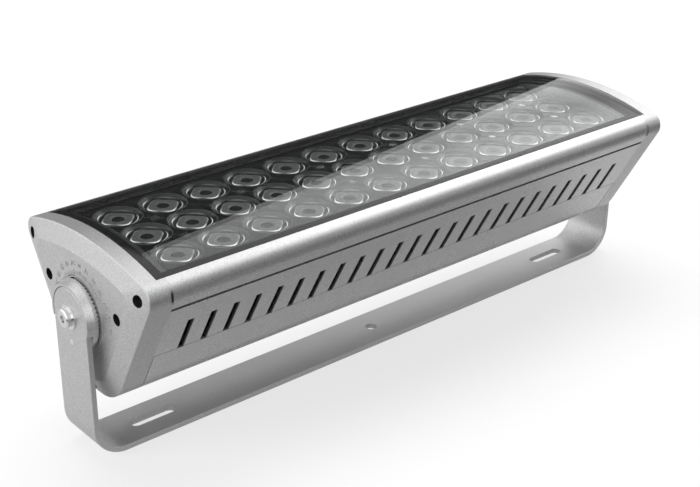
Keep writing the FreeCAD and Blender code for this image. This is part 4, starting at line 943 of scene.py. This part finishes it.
@dataclass
class DialMarks:
    """Raised degree numbers and ticks round the pivot on one end cap."""

    side: Side
    material: Material
    reach: int = 90
    step: int = 15
    capital: float = 0.7
    curve_steps: int = 3
    number_radius: float = 33.2
    number_height: float = 3.6
    relief: float = 0.4
    tick_inner: float = 26.4
    tick_outer: float = 28.0
    long_outer: float = 29.2
    tick_step: int = 5
    tick_width: float = 0.5

    def build(self) -> None:
        """Build the numbers and the ticks as one piece on the cap's face."""
        mesh = bpy.data.meshes.new(f"dial_marks_{self.side.word}")
        with edited(mesh) as shape:
            for degrees in range(-self.reach, self.reach + 1, self.step):
                self._add(shape, self._number(str(abs(degrees))), degrees, self.number_radius)
            for degrees in range(-self.reach, self.reach + 1, self.tick_step):
                outer = self.long_outer if degrees % self.step == 0 else self.tick_outer
                self._add(shape, self._tick(outer), degrees, 0.0)
        place_piece(mesh.name, mesh, (self.material,), "head", "cast_silver")

    def _number(self, text: str) -> Mesh:
        """Return a number's solid, centred, in the XY plane, rising along Z."""
        curve = bpy.data.curves.new("number", "FONT")
        curve.body = text
        curve.size = self.number_height * MM / self.capital
        curve.align_x = "CENTER"
        curve.align_y = "CENTER"
        curve.resolution_u = self.curve_steps
        curve.extrude = self.relief * MM
        holder = bpy.data.objects.new("number", curve)
        mesh = bpy.data.meshes.new_from_object(holder)
        bpy.data.objects.remove(holder)
        bpy.data.curves.remove(curve)
        return mesh

    def _tick(self, outer: float) -> Mesh:
        """Return a tick's solid: a bar along Y from the inner radius to the outer."""
        size = Vector((self.tick_width, outer - self.tick_inner, 2 * self.relief)) * MM
        middle = (outer + self.tick_inner) / 2 * MM
        mesh = bpy.data.meshes.new("tick")
        with edited(mesh) as shape:
            bmesh.ops.create_cube(shape, size=1.0)
            bmesh.ops.scale(shape, vec=size, verts=shape.verts)
            bmesh.ops.translate(shape, vec=(0, middle, 0), verts=shape.verts)
        return mesh

    def _add(self, shape: bmesh.types.BMesh, mesh: Mesh, degrees: float, radius: float) -> None:
        """Turn a mark to its angle, clockwise from the top as the face is looked at, and add it.

        Args:
            shape: What takes the mark.
            mesh: The mark, with its own Y outwards.
            degrees: Its angle.
            radius: How far from the axis its origin goes.
        """
        sign = self.side.value
        turn = math.radians(degrees)
        outward = Vector((0, sign * math.sin(turn), math.cos(turn)))
        rightward = Vector((0, sign * math.cos(turn), -math.sin(turn)))
        face = Vector((sign, 0, 0))
        pivot = Vector((sign * CAP_FACE, 0, PIVOT_HEIGHT)) * MM
        turned = Matrix((rightward, outward, face)).transposed().to_4x4()
        mesh.transform(Matrix.Translation(pivot + outward * radius * MM) @ turned)
        shape.from_mesh(mesh)
        bpy.data.meshes.remove(mesh)


# -------- the studio


@dataclass(frozen=True)
class Softbox:
    """A rectangular lamp that looks at a point.  Glossy surfaces show the sky in its place."""

    name: str
    place: Point
    width: float
    height: float
    power: float
    aim: Point = (0.0, 0.0, 0.1)

    def build(self) -> None:
        """Place the lamp and aim it."""
        lamp = bpy.data.lights.new(self.name, "AREA")
        lamp.shape = "RECTANGLE"
        lamp.size = self.width
        lamp.size_y = self.height
        lamp.energy = self.power
        holder = add_object(self.name, lamp)
        holder.location = self.place
        look = Vector(self.aim) - Vector(self.place)
        holder.rotation_euler = look.to_track_quat("-Z", "Y").to_euler()
        holder.visible_glossy = False


@dataclass
class Viewpoint:
    """The photograph's camera, solved from the grid of lenses."""

    place: Point = (-0.6209, -0.7008, 0.5160)
    azimuth: float = -40.507
    elevation: float = 25.175
    roll: float = 0.335
    focal_pixels: float = 1352.6
    frame_width: int = 700
    sensor: float = 36.0

    def build(self) -> None:
        """Create the camera.  Its axes come from azimuth and elevation, then turn by the roll."""
        azimuth = math.radians(self.azimuth)
        elevation = math.radians(self.elevation)
        roll = math.radians(self.roll)
        back = Vector((math.sin(azimuth) * math.cos(elevation),
                       -math.cos(azimuth) * math.cos(elevation), math.sin(elevation)))
        right = Vector((0, 0, 1)).cross(back).normalized()
        up = back.cross(right)
        turned_right = right * math.cos(roll) + up * math.sin(roll)
        turned_up = up * math.cos(roll) - right * math.sin(roll)
        lens = bpy.data.cameras.new("camera")
        lens.sensor_width = self.sensor
        lens.lens = self.focal_pixels / self.frame_width * self.sensor
        camera = add_object("camera", lens)
        turn = Matrix((turned_right, turned_up, back)).transposed()
        camera.matrix_world = Matrix.Translation(self.place) @ turn.to_4x4()
        bpy.context.scene.camera = camera


@dataclass(frozen=True)
class Sky:
    """Light from all round: white to the camera, even to matt surfaces, and zoned to gloss.

    To gloss it is a wide card overhead with a brighter left and right, a black flag behind an upright edge,
    a dim front and a soft strip in it.  Spans are of a ray's direction, by its part along an axis or a way.
    """

    fill: float = 0.30
    card_low: float = 1.2
    card_high: float = 1.25
    card_rise: Span = (0.4, 0.8)
    left_gain: float = 0.4
    left_along: Span = (-0.6, -0.3)
    right_gain: float = 1.6
    right_along: Span = (0.45, 0.8)
    right_rise: Span = (0.45, 0.62)
    flag: float = 0.03
    flag_normal: Point = (-0.6252, 0.7457, -0.2303)
    flag_edge: Span = (-0.002, 0.002)
    flag_way: Point = (0.985, 0.174, 0.0)
    flag_turn: Span = (0.05, 0.2)
    flag_rise: Span = (0.64, 0.78)
    front: float = 0.10
    front_facing: Span = (-0.95, -0.08)
    strip: float = 1.7
    strip_way: Point = (-0.30, -0.88, 0.37)
    strip_width: Span = (0.80, 0.94)

    def build(self) -> None:
        """Make the sky the scene's world."""
        world = bpy.data.worlds.new("studio")
        bpy.context.scene.world = world
        nodes = Nodes(world)
        world.cycles.sampling_method = "NONE"
        path = nodes.add("LightPath").outputs
        direction = nodes.add("TexCoord").outputs["Generated"]
        light = nodes.mix(path["Is Glossy Ray"], self.fill, self._in_gloss(nodes, direction))
        light = nodes.mix(path["Is Camera Ray"], light, 1.0)
        background = nodes.add("Background", {"Color": WHITE, "Strength": light})
        nodes.add("OutputWorld", {"Surface": background.outputs["Background"]})

    def _in_gloss(self, nodes: Nodes, direction: Socket) -> Socket:
        """Return how bright the sky is to gloss.

        Args:
            nodes: The world's nodes.
            direction: The direction that a ray goes.

        Returns:
            The brightness.
        """
        parts = nodes.axes(direction)
        height = parts["Z"]
        left = nodes.ramp(parts["X"], self.left_along, self.left_gain, 0.0)
        right = nodes.ramp(parts["X"], self.right_along, 0.0, self.right_gain)
        right = nodes.times(right, nodes.ramp(height, self.right_rise))
        sides = nodes.maths("ADD", nodes.maths("ADD", left, right), 1.0)
        card = nodes.ramp(height, self.card_rise, self.card_low, self.card_high)
        card = nodes.times(card, sides)
        behind = nodes.ramp(nodes.along(direction, self.flag_normal), self.flag_edge)
        turned = nodes.ramp(nodes.along(direction, self.flag_way), self.flag_turn)
        shade = nodes.times(nodes.times(behind, turned), nodes.ramp(height, self.flag_rise, 1.0, 0.0))
        strip = nodes.ramp(nodes.along(direction, self.strip_way), self.strip_width)
        light = nodes.mix(nodes.ramp(parts["Y"], self.front_facing, 1.0, 0.0), card, self.front)
        light = nodes.mix(shade, light, self.flag)
        return nodes.mix(strip, light, self.strip)


@dataclass
class Studio:
    """White floor, soft lamps and a sky whose bright and dark parts show in glass and metal."""

    floor: FloorWhite = FloorWhite("floor_white")
    floor_half: float = 6.0
    floor_drop: float = 0.0002
    sky: Sky = Sky()
    lamps: tuple[Softbox, ...] = (
        Softbox("lamp_top", (0.3, 0.5, 1.8), 1.6, 1.2, 26.0),
        Softbox("lamp_left", (-1.6, 0.3, 0.9), 1.0, 1.0, 13.0),
        Softbox("lamp_right", (1.7, 0.3, 1.0), 1.0, 1.0, 9.0),
    )

    def build(self) -> None:
        """Build the floor, the lamps and the sky, and choose the plain view transform."""
        bpy.context.scene.view_settings.view_transform = "Standard"
        self._lay_floor()
        for lamp in self.lamps:
            lamp.build()
        self.sky.build()

    def _lay_floor(self) -> None:
        """Lay the plain floor just under the yoke's base."""
        mesh = bpy.data.meshes.new("floor")
        reach = self.floor_half
        mesh.from_pydata([(-reach, -reach, 0), (reach, -reach, 0), (reach, reach, 0), (-reach, reach, 0)],
                         [], [(0, 1, 2, 3)])
        mesh.materials.append(self.floor.build())
        floor = add_object("floor", mesh)
        floor.location.z = -self.floor_drop


# -------- dressing the CAD nodes


@dataclass
class Dresser:
    """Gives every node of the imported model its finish, each named for the record's slot that it fills."""

    finishes: tuple[Finish, ...] = (
        SilverCoat("yoke_paint", (0.57, 0.57, 0.575), 0.45),
        CastCoat("cast_silver", (0.57, 0.57, 0.575), 0.40),
        ProfileCoat("extruded_silver", (0.63, 0.63, 0.635), 0.28),
        TurnedMetal("bright_steel", (0.75, 0.75, 0.75), 0.2),
        TurnedMetal("dark_steel", (0.10, 0.10, 0.105), 0.35),
        TurnedMetal("brass", (0.76, 0.60, 0.30), 0.28),
        TurnedMetal("nickel", (0.66, 0.65, 0.62), 0.24),
        ClearGlass("clear_glass"),
        Moulding("seal_rubber", (0.02, 0.02, 0.02), 0.6),
        Moulding("bearing_plastic", (0.05, 0.05, 0.05), 0.45),
        Moulding("board", (0.03, 0.03, 0.032), 0.4),
        Moulding("emitter", (0.35, 0.33, 0.25), 0.3),
        Moulding("clear_acrylic", (0.06, 0.06, 0.062), 0.15),
        Moulding("driver_case", (0.25, 0.25, 0.26), 0.5),
        Moulding("terminal_plastic", (0.08, 0.08, 0.08), 0.5),
    )

    def build(self) -> dict[str, Material]:
        """Put each finish on the nodes whose record names its slot, and return the materials by name."""
        made = {finish.name: finish.build() for finish in self.finishes}
        for subpart in frame["record"]["subparts"]:
            node = frame["nodes"][subpart["node"]]
            node.data.materials.clear()
            node.data.materials.append(made[subpart["material_slot"]])
            LOG.info("%s wears %s", subpart["node"], subpart["material_slot"])
        return made


def main() -> None:
    """Build the part's looks and the studio in order."""
    logging.basicConfig(level=logging.INFO, format="%(message)s")
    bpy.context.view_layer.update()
    materials = Dresser().build()
    LensArray(LensAcrylic("lens_acrylic")).build()
    GlassPane(ClearGlass("pane_glass"), PrintedBlack("pane_ink")).build()
    for side in Side:
        DialMarks(side, materials["cast_silver"]).build()
    Viewpoint().build()
    Studio().build()


if __name__ == "__main__":
    main()
